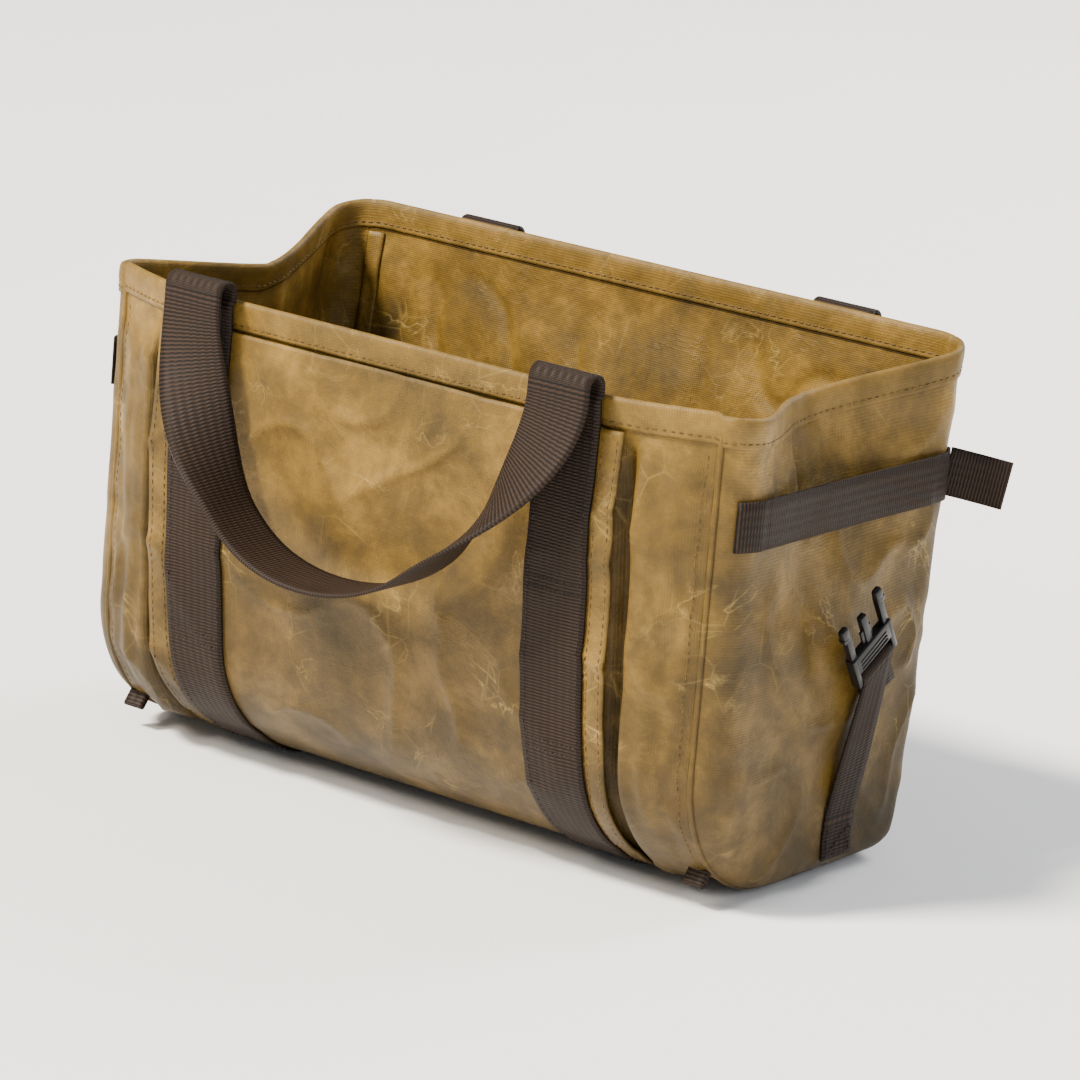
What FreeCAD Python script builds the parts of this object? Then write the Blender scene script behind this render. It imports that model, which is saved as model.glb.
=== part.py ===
import FreeCAD, Part
import math
import os

import Sketcher
from FreeCAD import Placement, Rotation, Vector

# A soft basket bag of waxed canvas that hangs on the front of a small-wheeled bicycle. The bag stands on
# its webbing: +Z is up, -Y is the front face, +Y the face towards the bicycle. The origin is on the ground
# under the bag's middle.

doc = FreeCAD.newDocument("basket_bag")
sheet = doc.addObject("Spreadsheet::Sheet", "Sizes")

SIZES = [
    # The canvas body.
    ("bag_width", 406, "side to side, outside the canvas"),
    ("bottom_depth", 180, "front to rear at the bottom"),
    ("mouth_depth", 222, "front to rear at the rim"),
    ("front_height", 254, "front rim above the ground"),
    ("rear_height", 267, "rear rim above the ground"),
    ("side_sag", 14, "dip of the rim at the middle of each side"),
    ("front_radius", 78, "bend from the front panel into the bottom"),
    ("rear_radius", 26, "bend from the bottom into the rear panel"),
    ("canvas", 1.4, "thickness of the doubled canvas"),
    ("corner_recess", 24, "front corners set back from the front face at the rim"),
    ("side_fold", 34, "inward fold of each side at the rim"),
    ("fold_height", 112, "how far the side fold reaches down from the rim"),
    ("seam_inset", 13, "side seam's distance from the side"),
    ("layer_gap", 0.1, "space between layers sewn on each other"),
    ("binding_height", 14, "folded strip that binds the rim"),
    ("binding_thick", 1, "thickness of that strip on each side"),
    ("tape_width", 9, "seam binding inside the side seams"),
    ("tape_thick", 1, "thickness of the seam binding"),
    # The flat pocket on the front.
    ("pocket_margin", 13, "front pocket's canvas beyond the webbing's outer edges"),
    ("pocket_bulge", 10, "how far the pocket stands off the front panel"),
    ("pocket_under", 40, "how far the pocket's canvas runs under the bottom, past the middle"),
    # Webbing runs and carrying handles.
    ("run_spacing", 232, "between the centre lines of the two webbing runs"),
    ("web_width", 36, "wide webbing"),
    ("web_thick", 1.8, "wide webbing's thickness"),
    ("fold_radius", 6, "centre line of the webbing's fold over the rim"),
    ("front_fold_lift", 5, "the front fold's centre above the rim"),
    ("rear_fold_lift", -5, "the rear fold's centre above the rim"),
    ("handle_clear", 0.5, "between a handle's end and the fold that it turns about"),
    ("front_droop", 122, "the front handle hangs this far below the rim"),
    ("rear_droop", 112, "the rear handle hangs this far below the rim"),
    ("front_rest_clear", 3.1, "between the front handle's middle and the webbing behind it"),
    ("rear_rest_clear", 1.9, "between the rear handle's middle and the sleeve behind it"),
    # Narrow webbing on the sides.
    ("strap_width", 25, "narrow webbing"),
    ("strap_thick", 1.5, "narrow webbing's thickness"),
    ("strap_drop", 54, "side strap's centre line below the front rim"),
    ("strap_slack", 5, "side strap's inward sag"),
    ("tail_length", 30, "loose end of the side strap"),
    ("tail_gap", 1.2, "between the side strap and its loose end"),
    ("anchor_height", 20, "sewn patch of the buckle strap"),
    ("anchor_low", 9, "the patch's lower edge above the bag's bottom"),
    ("anchor_forward", 22, "the patch's centre behind the bag's middle"),
    ("hinge_gap", 1.6, "from the buckle strap's bending line to the webbing on each side of it"),
    ("buckle_strap_length", 84, "from its bending line to the buckle's bar"),
    ("strap_lean", 8, "outward lean of the buckle strap in degrees"),
    ("tab_length", 9, "corner tab, from the seam to its fold"),
    ("tab_width", 12, "corner tab"),
    ("tab_angle", 38, "corner tab's place on the front bend, in degrees from straight down"),
    # The plug half of a side-release buckle.
    ("buckle_side_clear", 0.4, "between the webbing's edges and the buckle's arms"),
    ("buckle_thick", 6, "frame's thickness"),
    ("buckle_frame", 19, "frame's length from the bar's centre"),
    ("buckle_arm", 3.6, "arms beside the webbing's slot"),
    ("bar_radius", 1.8, "round bar that holds the webbing"),
    ("bar_clear", 0.06, "between the bar and the webbing round it"),
    ("slot_clear", 3.14, "between the webbing round the bar and the cross piece"),
    ("prong_length", 24, "side prongs beyond the frame"),
    ("prong_width", 5, "side prongs"),
    ("prong_thick", 4, "side and middle prongs"),
    ("buckle_tilt", 38, "the buckle's tilt towards the front in degrees"),
    # Stiffener, carrier frame and its sleeve.
    ("board_thick", 2.5, "bottom stiffener"),
    ("board_margin", 4, "between the stiffener and the bends and seams"),
    ("board_corner", 12, "corner radius of the stiffener"),
    ("sleeve_margin", 3, "between the canvas sleeve on the rear face and the webbing runs"),
    ("sleeve_low", 18, "sleeve's lower edge above the bag's bottom"),
    ("sleeve_height", 216, "sleeve"),
    ("slip", 0.6, "room for the frame inside its sleeve"),
    ("window_margin", 3, "sleeve's opening beyond each side of the socket's plate"),
    ("window_rise", 5, "sleeve's opening beyond the plate's upper and lower edges"),
    ("tube_radius", 5, "carrier frame's tube"),
    ("tube_bend", 18, "carrier frame's corners"),
    ("strut_thick", 4, "flat struts across the frame"),
    ("strut_width", 16, "flat struts across the frame"),
    # Moulded socket that the bicycle's carrier block slides into.
    ("socket_height", 94, "mounting plate"),
    ("socket_ear", 10, "mounting plate beyond each side of the socket"),
    ("socket_plate_thick", 4, "mounting plate"),
    ("socket_low", 40, "plate's lower edge above the bag's bottom"),
    ("socket_wall", 5, "socket's side walls"),
    ("socket_back", 8, "socket's rear wall"),
    ("cavity_width", 40, "room for the block"),
    ("cavity_depth", 22, "room for the block"),
    ("socket_cap", 18, "solid top of the socket, above the room for the block"),
    ("slot_width", 26, "slot in the socket's rear wall for the block's neck"),
    ("screw_radius", 2.5, "socket screws"),
    ("screw_head", 4.6, "screw head's radius"),
    ("head_thick", 2.6, "screw head"),
    ("screw_clear", 0.1, "between a screw and its holes"),
    ("screw_inset", 5, "from the plate's side to a screw's centre"),
    ("strut_inset", 12, "from the plate's upper and lower edges to the struts' centre lines"),
]

for row, (alias, value, meaning) in enumerate(SIZES, start=1):
    sheet.set(f"A{row}", meaning)
    sheet.set(f"B{row}", str(value))
    sheet.setAlias(f"B{row}", alias)
doc.recompute()


def size(alias):
    return float(sheet.get(alias))


canvas = size("canvas")
gap = size("layer_gap")
width = size("bag_width")
web = size("web_thick")
web_front = gap + canvas + gap  # webbing lies over the pocket's canvas on the front and bottom
web_rear = gap + size("binding_thick") + gap  # and over the rim's binding on the rear
floor = web_front + web  # underside of the bag's own canvas
front_slope = (size("mouth_depth") - size("bottom_depth")) / 2 / (size("front_height") - floor)
rear_slope = (size("mouth_depth") - size("bottom_depth")) / 2 / (size("rear_height") - floor)
rim_middle = (size("front_height") + size("rear_height")) / 2 - size("side_sag")
seam = width / 2 - size("seam_inset")
pocket_half = (size("run_spacing") + size("web_width")) / 2 + size("pocket_margin")


# ---- Outline of the bag ----


def front_y(height, offset=0.0):
    """Y of the front face at a height, moved outwards by the offset."""
    lean = math.atan(front_slope)
    return -size("bottom_depth") / 2 - (height - floor) * front_slope - offset / math.cos(lean)


def rear_y(height, offset=0.0):
    """Y of the rear face at a height, moved outwards by the offset."""
    lean = math.atan(rear_slope)
    return size("bottom_depth") / 2 + (height - floor) * rear_slope + offset / math.cos(lean)


def rounded_wire(points, radii, bow=None):
    """Closed wire through the points with rounded corners; bow moves the first edge's middle."""
    corners = []
    for index, (point, radius) in enumerate(zip(points, radii)):
        before = (points[index - 1] - point).normalize()
        after = (points[(index + 1) % len(points)] - point).normalize()
        if radius == 0:
            corners.append((point, None, point))
            continue
        half = before.getAngle(after) / 2
        cut = radius / math.tan(half)
        middle = point + (before + after).normalize() * (radius / math.sin(half) - radius)
        corners.append((point + before * cut, middle, point + after * cut))
    edges = []
    for index, (arrive, middle, leave) in enumerate(corners):
        if middle is not None:
            edges.append(Part.Arc(arrive, middle, leave).toShape())
        target = corners[(index + 1) % len(corners)][0]
        if index == 0 and bow is not None:
            edges.append(Part.Arc(leave, (leave + target) / 2 + bow, target).toShape())
        else:
            edges.append(Part.LineSegment(leave, target).toShape())
    return Part.Wire(edges)


def side_prism(low_x, high_x, front, base, rear, top=0.0, bulge=0.0):
    """The bag's side outline, each side moved outwards by its offset, drawn out along X."""
    bottom = floor - base
    points = [
        Vector(low_x, front_y(size("front_height") + top, front), size("front_height") + top),
        Vector(low_x, front_y(bottom, front), bottom),
        Vector(low_x, rear_y(bottom, rear), bottom),
        Vector(low_x, rear_y(size("rear_height") + top, rear), size("rear_height") + top),
        Vector(low_x, 0, rim_middle + top),
    ]
    front_radius = size("front_radius") + (front + base) / 2
    rear_radius = size("rear_radius") + (rear + base) / 2
    bow = Vector(0, -bulge, 0) if bulge else None
    wire = rounded_wire(points, [0, front_radius, rear_radius, 0, 0], bow)
    return Part.Face(wire).extrude(Vector(high_x - low_x, 0, 0))


def side_points(height, offset=0.0):
    """Plan of the right side at a height, from the front corner round to the rear corner."""
    half = width / 2 + offset
    rise = (height - floor) / (size("front_height") - floor)
    recess = size("corner_recess") * rise
    fold_start = size("front_height") - size("fold_height")
    fold = size("side_fold") * max(0.0, (height - fold_start) / size("fold_height"))
    front = front_y(height, offset)
    rear = rear_y(height, offset)
    return [
        Vector(half - 12, front + 0.8 * recess, height),
        Vector(half - 3, front + recess + 5, height),
        Vector(half, front + recess + 15, height),
        Vector(half - fold, (front + rear) / 2, height),
        Vector(half, rear - 22, height),
        Vector(half - 6, rear - 6, height),
        Vector(half - 20, rear, height),
    ]


def plan_wire(height, offset):
    """Closed plan outline at a height; past the side panels it stands clear of front and rear."""
    reach = 60
    turn = pocket_half - 10
    right = side_points(height, offset)
    right.insert(0, Vector(turn, front_y(height, offset), height))
    right.insert(0, Vector(turn, front_y(height, offset) - reach, height))
    right.append(right[-1] + Vector(0, reach, 0))
    left = [Vector(-point.x, point.y, point.z) for point in reversed(right)]
    return Part.makePolygon(right + left + [right[0]])


def bag_solid(offset, top):
    """The filled bag, moved outwards by the offset; top raises its upper face above the rim."""
    heights = [
        floor - 12,
        size("front_height") - size("fold_height"),
        size("rear_height") + 80,
    ]
    plan = Part.makeLoft([plan_wire(height, offset) for height in heights], True, True)
    return side_prism(-width, width, offset, offset, offset, top).common(plan)


def slab(low_x, high_x, low_z=-50.0, high_z=500.0, low_y=-300.0, high_y=300.0):
    return Part.makeBox(high_x - low_x, high_y - low_y, high_z - low_z, Vector(low_x, low_y, low_z))


def mirrored(shape):
    return shape.mirror(Vector(0, 0, 0), Vector(1, 0, 0))


def soft_part(name, shape):
    """A sub-part whose shape is worked out above from the sheet's sizes."""
    part = doc.addObject("Part::Feature", name)
    part.Label = name
    part.Shape = shape
    part.Placement = Placement()
    return part


parts = []

# ---- Canvas panels ----

OPEN_TOP = 70.0
shell = bag_solid(0.0, 0.0).cut(bag_solid(-canvas, OPEN_TOP))


FOLD_FRONT = -60.0
FOLD_REAR = 70.0
FOLD_SPARE = 20.0


def fold_zone():
    """Space that the right side's inward fold takes, short of the front and rear panels."""
    start = size("front_height") - size("fold_height")
    low_x = width / 2 - size("side_fold") - FOLD_SPARE
    return slab(low_x, seam + 2, start - 2, size("rear_height"), FOLD_FRONT, FOLD_REAR)


main_panel = shell.common(slab(-seam, seam)).cut([fold_zone(), mirrored(fold_zone())])
parts.append(soft_part("main_panel", main_panel))
side_panel = shell.common(slab(seam + gap, width).fuse(fold_zone()))
parts.append(soft_part("side_panel_right", side_panel))
parts.append(soft_part("side_panel_left", mirrored(side_panel)))


def seam_tape():
    """Binding over the raw edges of a side seam, on the inside."""
    outer = bag_solid(-canvas - gap, 0.0)
    inner = bag_solid(-canvas - gap - size("tape_thick"), OPEN_TOP)
    top = size("front_height") - size("side_sag") - size("binding_height") - gap
    strip = outer.cut(inner).common(slab(seam - size("tape_width"), seam, high_z=top))
    return strip.cut(fold_zone())


tape = seam_tape()
parts.append(soft_part("seam_tape_right", tape))
parts.append(soft_part("seam_tape_left", mirrored(tape)))


def rim_binding():
    """Strip folded over the rim all the way round, as deep outside as inside."""
    thick = size("binding_thick")
    ring = bag_solid(gap + thick, gap + thick).cut(bag_solid(-canvas - gap - thick, OPEN_TOP))
    channel = bag_solid(gap, gap).cut(bag_solid(-canvas - gap, OPEN_TOP))
    reach = size("mouth_depth")
    low = -size("binding_height")
    half = size("mouth_depth") / 2
    front_dip = (size("front_height") - rim_middle) * reach / half
    rear_dip = (size("rear_height") - rim_middle) * reach / half
    band = Part.makePolygon(
        [
            Vector(-width, -reach, rim_middle + front_dip + low),
            Vector(-width, 0, rim_middle + low),
            Vector(-width, reach, rim_middle + rear_dip + low),
            Vector(-width, reach, rim_middle + rear_dip + OPEN_TOP),
            Vector(-width, -reach, rim_middle + rear_dip + OPEN_TOP),
            Vector(-width, -reach, rim_middle + front_dip + low),
        ]
    )
    return ring.cut(channel).common(Part.Face(band).extrude(Vector(2 * width, 0, 0)))


parts.append(soft_part("rim_binding", rim_binding()))


def front_pocket_panel():
    """Canvas laid over the front and under the bottom; its open sides lead into the flat pocket."""
    half = pocket_half
    bulge = size("pocket_bulge")
    outer = side_prism(-half, half, gap + canvas, gap + canvas, 0.0, 0.0, bulge)
    inner = side_prism(-half, half, gap, gap, 0.0, 0.0, bulge)
    top = size("front_height") - size("binding_height") - 2 * gap
    zone = slab(-half, half, high_z=top, high_y=size("pocket_under"))
    return outer.cut(inner).common(zone)


parts.append(soft_part("front_pocket_panel", front_pocket_panel()))

# ---- Webbing runs: up the front, under the bottom and up the rear, with a fold over each rim ----


def fold_centre(side):
    """Centre of the fold over the front (-1) or rear (+1) rim, as Y and Z."""
    radius = size("fold_radius")
    if side < 0:
        height = size("front_height")
        return front_y(height, web_front + web / 2) - radius, height + size("front_fold_lift")
    height = size("rear_height")
    return rear_y(height, web_rear + web / 2) + radius, height + size("rear_fold_lift")


def rim_at(side):
    return size("front_height") if side < 0 else size("rear_height")


def rim_fold(side, low_x, high_x):
    """Upright end of a run and its half-round fold outwards over the rim."""
    centre_y, centre_z = fold_centre(side)
    radius = size("fold_radius")
    length = high_x - low_x
    centre = Vector(low_x, centre_y, centre_z)
    outer = Part.makeCylinder(radius + web / 2, length, centre, Vector(1, 0, 0))
    inner = Part.makeCylinder(radius - web / 2, length, centre, Vector(1, 0, 0))
    bend = outer.cut(inner).common(slab(low_x, high_x, low_z=centre_z))
    inside = centre_y - side * radius
    upright = slab(
        low_x,
        high_x,
        min(centre_z, rim_at(side)) - web,
        centre_z,
        inside - web / 2,
        inside + web / 2,
    )
    return bend.fuse(upright)


def webbing_run():
    """The right run."""
    low_x = size("run_spacing") / 2 - size("web_width") / 2
    high_x = low_x + size("web_width")
    bulge = size("pocket_bulge")
    outer = side_prism(low_x, high_x, web_front + web, web_front + web, web_rear + web, 0.0, bulge)
    inner = side_prism(low_x, high_x, web_front, web_front, web_rear, 0.0, bulge)
    strip = outer.cut(inner).cut(slab(low_x, high_x, low_y=0, low_z=fold_centre(1)[1]))
    folds = [rim_fold(-1, low_x, high_x), rim_fold(1, low_x, high_x)]
    return strip.fuse(folds).removeSplitter()


run = webbing_run()
parts.append(soft_part("webbing_run_right", run))
parts.append(soft_part("webbing_run_left", mirrored(run)))

# ---- Webbing that bends and twists ----


def ribbon(centres, tangents, crosswise, strip_width, thick):
    """Ruled strip through the centres; crosswise gives the direction of its width at each."""
    wires = []
    for centre, along, across in zip(centres, tangents, crosswise):
        half_width = Vector(across).normalize() * (strip_width / 2)
        half_thick = along.cross(across).normalize() * (thick / 2)
        corners = [
            centre - half_width - half_thick,
            centre + half_width - half_thick,
            centre + half_width + half_thick,
            centre - half_width + half_thick,
        ]
        wires.append(Part.makePolygon(corners + [corners[0]]))
    return Part.makeLoft(wires, True, True)


def polyline_tangents(points):
    """Mean direction at each point of a run of straight pieces."""
    tangents = []
    for index in range(len(points)):
        before = points[max(index - 1, 0)]
        after = points[min(index + 1, len(points) - 1)]
        tangents.append((after - before).normalize())
    return tangents


def carrying_handle(side, droop, face_y, rest_clear):
    """Handle hanging outside the front (-1) or rear (+1) rim. Its ends lie flat and its middle on edge.

    face_y gives the surface behind it at a height; its middle stands rest_clear away from that.
    """
    centre_y, centre_z = fold_centre(side)
    inner = size("fold_radius") - web / 2
    outer = size("fold_radius") + web / 2 + size("handle_clear")
    top = centre_z - math.sqrt(outer**2 - inner**2)
    end_y = centre_y + side * size("fold_radius")
    half_span = size("run_spacing") / 2
    low = rim_at(side) - droop
    middle_y = face_y((low + top) / 2) + side * (rest_clear + size("web_width") / 2)
    centres = []
    tangents = []
    crosswise = []
    steps = 18
    for step in range(steps + 1):
        angle = math.pi * (step / steps - 0.5)
        share = min(1.0, (math.pi / 2 - abs(angle)) / (0.6 * math.pi / 2))
        twist = math.pi / 2 * share**2 * (3 - 2 * share)
        along = Vector(half_span * math.cos(angle), 0, (top - low) * math.sin(angle)).normalize()
        flat = Vector(-along.z, 0, along.x)
        centre_x = half_span * math.sin(angle)
        height = low + (top - low) * (1 - math.cos(angle))
        centres.append(Vector(centre_x, end_y + (middle_y - end_y) * math.sin(twist), height))
        tangents.append(along)
        crosswise.append(flat * math.cos(twist) + Vector(0, 1, 0) * math.sin(twist))
    return ribbon(centres, tangents, crosswise, size("web_width"), web)


def webbing_face(height):
    """Y of the front webbing's outer face where the pocket bulges most."""
    return front_y(height, web_front + web) - size("pocket_bulge")


def sleeve_face(height):
    """Y of the rear sleeve's outer face."""
    return rear_y(height, gap + 2 * size("slip") + 2 * size("tube_radius") + canvas)


front_handle = carrying_handle(-1, size("front_droop"), webbing_face, size("front_rest_clear"))
rear_handle = carrying_handle(1, size("rear_droop"), sleeve_face, size("rear_rest_clear"))
parts.append(soft_part("front_handle", front_handle))
parts.append(soft_part("rear_handle", rear_handle))

# ---- Straps on the sides ----

strap = size("strap_thick")
strap_height = size("front_height") - size("strap_drop")


def side_strap_route():
    """Centre line of the right side strap, round both corners and across the folded side."""
    offset = gap + strap / 2 + 0.4
    outline = side_points(strap_height, offset)
    front_end, front_corner, rear_corner, rear_end = outline[1], outline[2], outline[4], outline[5]
    route = [front_end, front_corner]
    for share in (0.25, 0.5, 0.75):
        point = front_corner + (rear_corner - front_corner) * share
        route.append(point - Vector(size("strap_slack") * math.sin(math.pi * share), 0, 2))
    return route + [rear_corner, rear_end]


route = side_strap_route()
standing = [Vector(0, 0, 1)] * len(route)
side_strap = ribbon(route, polyline_tangents(route), standing, size("strap_width"), strap)
parts.append(soft_part("side_strap_right", side_strap))
parts.append(soft_part("side_strap_left", mirrored(side_strap)))


def tail_start():
    """Where the loose end begins, just past the end of the strap."""
    return route[-1] + Vector(0.9, 1.1, 0).normalize() * size("tail_gap")


def side_strap_tail():
    """Loose end beyond the rear corner, turned away from the bag."""
    away = Vector(0.8, 0.58, -0.16).normalize()
    start = tail_start()
    reach = away * size("tail_length")
    points = [start, start + reach / 2 + Vector(0.6, 0, 0), start + reach]
    lift = [Vector(0, 0, 1), Vector(0.1, 0.05, 1), Vector(0.16, 0.1, 1)]
    return ribbon(points, polyline_tangents(points), lift, size("strap_width"), strap)


tail = side_strap_tail()
parts.append(soft_part("side_strap_tail_right", tail))
parts.append(soft_part("side_strap_tail_left", mirrored(tail)))

# ---- Buckle straps ----

strap_face = width / 2 + gap
hinge_x = strap_face + strap
hinge_z = floor + size("anchor_low") + size("anchor_height") + size("hinge_gap")


def strap_anchor(name, side):
    """End of the buckle strap, folded double and sewn flat on the side panel."""
    patch = doc.addObject("Part::Box", name)
    patch.Label = name
    patch.setExpression("Length", "2 * Sizes.strap_thick")
    patch.setExpression("Width", "Sizes.strap_width")
    patch.setExpression("Height", "Sizes.anchor_height")
    left = "Sizes.bag_width / 2 + Sizes.layer_gap"
    if side < 0:
        left = f"-({left}) - 2 * Sizes.strap_thick"
    patch.setExpression("Placement.Base.x", left)
    patch.setExpression("Placement.Base.y", "Sizes.anchor_forward - Sizes.strap_width / 2")
    below = "2 * Sizes.layer_gap + Sizes.canvas + Sizes.web_thick + Sizes.anchor_low"
    patch.setExpression("Placement.Base.z", below)
    return patch


parts.append(strap_anchor("strap_anchor_right", 1))
parts.append(strap_anchor("strap_anchor_left", -1))


def buckle_place():
    """Centre of the right buckle's bar, with local X along the bar and local Y along the prongs."""
    lean = math.radians(size("strap_lean"))
    reach = size("buckle_strap_length")
    spot = Vector(hinge_x + reach * math.sin(lean), size("anchor_forward"), hinge_z + reach * math.cos(lean))
    upright = Rotation(Vector(0, 1, 0), Vector(0, 0, 1), Vector(1, 0, 0), "YXZ")
    tilt = Rotation(Vector(1, 0, 0), size("buckle_tilt"))
    lean_turn = Rotation(Vector(0, 1, 0), size("strap_lean"))
    return Placement(spot, lean_turn * tilt * upright)


def buckle_strap():
    """Webbing from its bending line up to the buckle, where it is folded round the bar."""
    place = buckle_place()
    bar = place.Base
    along_bar = place.Rotation.multVec(Vector(1, 0, 0))
    to_prongs = place.Rotation.multVec(Vector(0, 1, 0))
    outwards = along_bar.cross(to_prongs)
    hole = size("bar_radius") + size("bar_clear")
    half = size("strap_width") / 2
    start = bar - along_bar * half
    loop = Part.makeCylinder(hole + strap, 2 * half, start, along_bar)
    eye = Part.makeCylinder(hole, 2 * half, start, along_bar)
    lean = math.radians(size("strap_lean"))
    rise = Vector(math.sin(lean), 0, math.cos(lean))
    foot = Vector(hinge_x, size("anchor_forward"), hinge_z) + rise * size("hinge_gap")
    neck = bar - to_prongs * (hole + strap / 2)
    middle = (foot + neck) / 2 + Vector(1.5, 0, 0)
    points = [foot, foot + (middle - foot) * 0.5, middle, middle + (neck - middle) * 0.6, neck]
    shares = [0.0, 0.1, 0.35, 0.8, 1.0]
    turns = [Vector(0, 1, 0) * (1 - share) + along_bar * share for share in shares]
    tangents = polyline_tangents(points)
    tangents[-1] = to_prongs
    strip = ribbon(points, tangents, turns, size("strap_width"), strap)
    return strip.fuse(loop).cut(eye).removeSplitter()


strap_loop = buckle_strap()
parts.append(soft_part("buckle_strap_right", strap_loop))
parts.append(soft_part("buckle_strap_left", mirrored(strap_loop)))


def body_box(body, kind, name, lengths, corner):
    """Box feature of a body, its lengths and lowest corner given as expressions."""
    feature = body.newObject(f"PartDesign::{kind}Box", name)
    for key, expression in zip(("Length", "Width", "Height"), lengths):
        feature.setExpression(key, expression)
    for axis, expression in zip("xyz", corner):
        feature.setExpression(f"AttachmentOffset.Base.{axis}", expression)
    feature.AttachmentSupport = [(origin_plane(body, "XY_Plane"), "")]
    feature.MapMode = "FlatFace"
    return feature


def origin_plane(body, role):
    return next(feature for feature in body.Origin.OriginFeatures if feature.Role == role)


def new_body(name):
    body = doc.addObject("PartDesign::Body", name)
    body.Label = name
    return body


def new_sketch(body, name, height):
    """Sketch on the body's own X-Y plane, raised by the expression."""
    sketch = body.newObject("Sketcher::SketchObject", name)
    sketch.AttachmentSupport = [(origin_plane(body, "XY_Plane"), "")]
    sketch.MapMode = "FlatFace"
    sketch.setExpression("AttachmentOffset.Base.z", height)
    return sketch


def sketch_rectangle(sketch, across, tall):
    """Rectangle centred on the sketch's origin, its two lengths bound to expressions."""
    half_x, half_y = 20.0, 10.0
    corners = [
        Vector(-half_x, -half_y, 0),
        Vector(half_x, -half_y, 0),
        Vector(half_x, half_y, 0),
        Vector(-half_x, half_y, 0),
    ]
    for index in range(4):
        sketch.addGeometry(Part.LineSegment(corners[index], corners[(index + 1) % 4]))
    for index in range(4):
        sketch.addConstraint(Sketcher.Constraint("Coincident", index, 2, (index + 1) % 4, 1))
    for index, kind in enumerate(("Horizontal", "Vertical", "Horizontal", "Vertical")):
        sketch.addConstraint(Sketcher.Constraint(kind, index))
    sketch.addConstraint(Sketcher.Constraint("Symmetric", 0, 1, 2, 1, -1, 1))
    across_at = sketch.addConstraint(Sketcher.Constraint("DistanceX", 0, 1, 0, 2, 2 * half_x))
    tall_at = sketch.addConstraint(Sketcher.Constraint("DistanceY", 1, 1, 1, 2, 2 * half_y))
    sketch.setExpression(f"Constraints[{across_at}]", across)
    sketch.setExpression(f"Constraints[{tall_at}]", tall)


def pad(body, name, sketch, length):
    feature = body.newObject("PartDesign::Pad", name)
    feature.Profile = sketch
    feature.setExpression("Length", length)
    doc.recompute()
    return feature


def buckle(name):
    """Plug half of a side-release buckle: frame with a bar, two side prongs and a middle guide."""
    body = new_body(name)
    wide = "(Sizes.strap_width + 2 * (Sizes.buckle_side_clear + Sizes.buckle_arm))"
    slot = "(Sizes.bar_radius + Sizes.bar_clear + Sizes.strap_thick + Sizes.slot_clear)"
    half = f"{wide} / 2"
    low = "-Sizes.buckle_thick / 2"
    arm = ("Sizes.buckle_arm", "Sizes.buckle_frame", "Sizes.buckle_thick")
    body_box(body, "Additive", f"{name}_arm_a", arm, (f"-{half}", "0", low))
    body_box(body, "Additive", f"{name}_arm_b", arm, (f"{half} - Sizes.buckle_arm", "0", low))
    cross = (wide, f"Sizes.buckle_frame - {slot}", "Sizes.buckle_thick")
    body_box(body, "Additive", f"{name}_cross", cross, (f"-{half}", slot, low))
    bar = body.newObject("PartDesign::AdditiveCylinder", f"{name}_bar")
    bar.setExpression("Radius", "Sizes.bar_radius")
    bar.setExpression("Height", wide)
    bar.AttachmentSupport = [(origin_plane(body, "YZ_Plane"), "")]
    bar.MapMode = "FlatFace"
    bar.setExpression("AttachmentOffset.Base.z", f"-{half}")
    prong = ("Sizes.prong_width", "Sizes.prong_length", "Sizes.prong_thick")
    at = ("Sizes.buckle_frame", "-Sizes.prong_thick / 2")
    body_box(body, "Additive", f"{name}_prong_a", prong, (f"-{half} + 1", *at))
    body_box(body, "Additive", f"{name}_prong_b", prong, (f"{half} - 1 - Sizes.prong_width", *at))
    guide = ("Sizes.prong_width", "Sizes.prong_length - 4", "Sizes.prong_thick")
    body_box(body, "Additive", f"{name}_guide", guide, ("-Sizes.prong_width / 2", *at))
    doc.recompute()
    return body


right_buckle = buckle("buckle_right")
right_buckle.Placement = buckle_place()
left_buckle = buckle("buckle_left")
right_spot = buckle_place().Base
mirror_tilt = Rotation(Vector(1, 0, 0), size("buckle_tilt"))
left_spot = Vector(-right_spot.x, right_spot.y, right_spot.z)
left_upright = Rotation(Vector(0, 1, 0), Vector(0, 0, 1), Vector(1, 0, 0), "YXZ")
left_lean = Rotation(Vector(0, 1, 0), -size("strap_lean"))
left_buckle.Placement = Placement(left_spot, left_lean * mirror_tilt * left_upright)
parts.append(right_buckle)
parts.append(left_buckle)

# ---- Corner tabs: short webbing loops caught in the side seams low at the front ----


def corner_tab():
    radius = size("front_radius")
    angle = math.radians(size("tab_angle"))
    turn = math.pi / 2 - math.atan(front_slope)
    centre_y = front_y(floor) + radius * math.tan(turn / 2)
    centre = Vector(seam - size("tab_width") / 2, centre_y, floor + radius)
    outwards = Vector(0, -math.sin(angle), -math.cos(angle))
    start = centre + outwards * (radius + gap + strap)
    down = Vector(0, -0.35, -1).normalize()
    points = [start, start + down * size("tab_length") / 2, start + down * size("tab_length")]
    across = [Vector(1, 0, 0)] * 3
    return ribbon(points, [down] * 3, across, size("tab_width"), 2 * strap)


tab = corner_tab()
parts.append(soft_part("corner_tab_right", tab))
parts.append(soft_part("corner_tab_left", mirrored(tab)))

# ---- Stiffener that lies loose on the bottom ----


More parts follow.
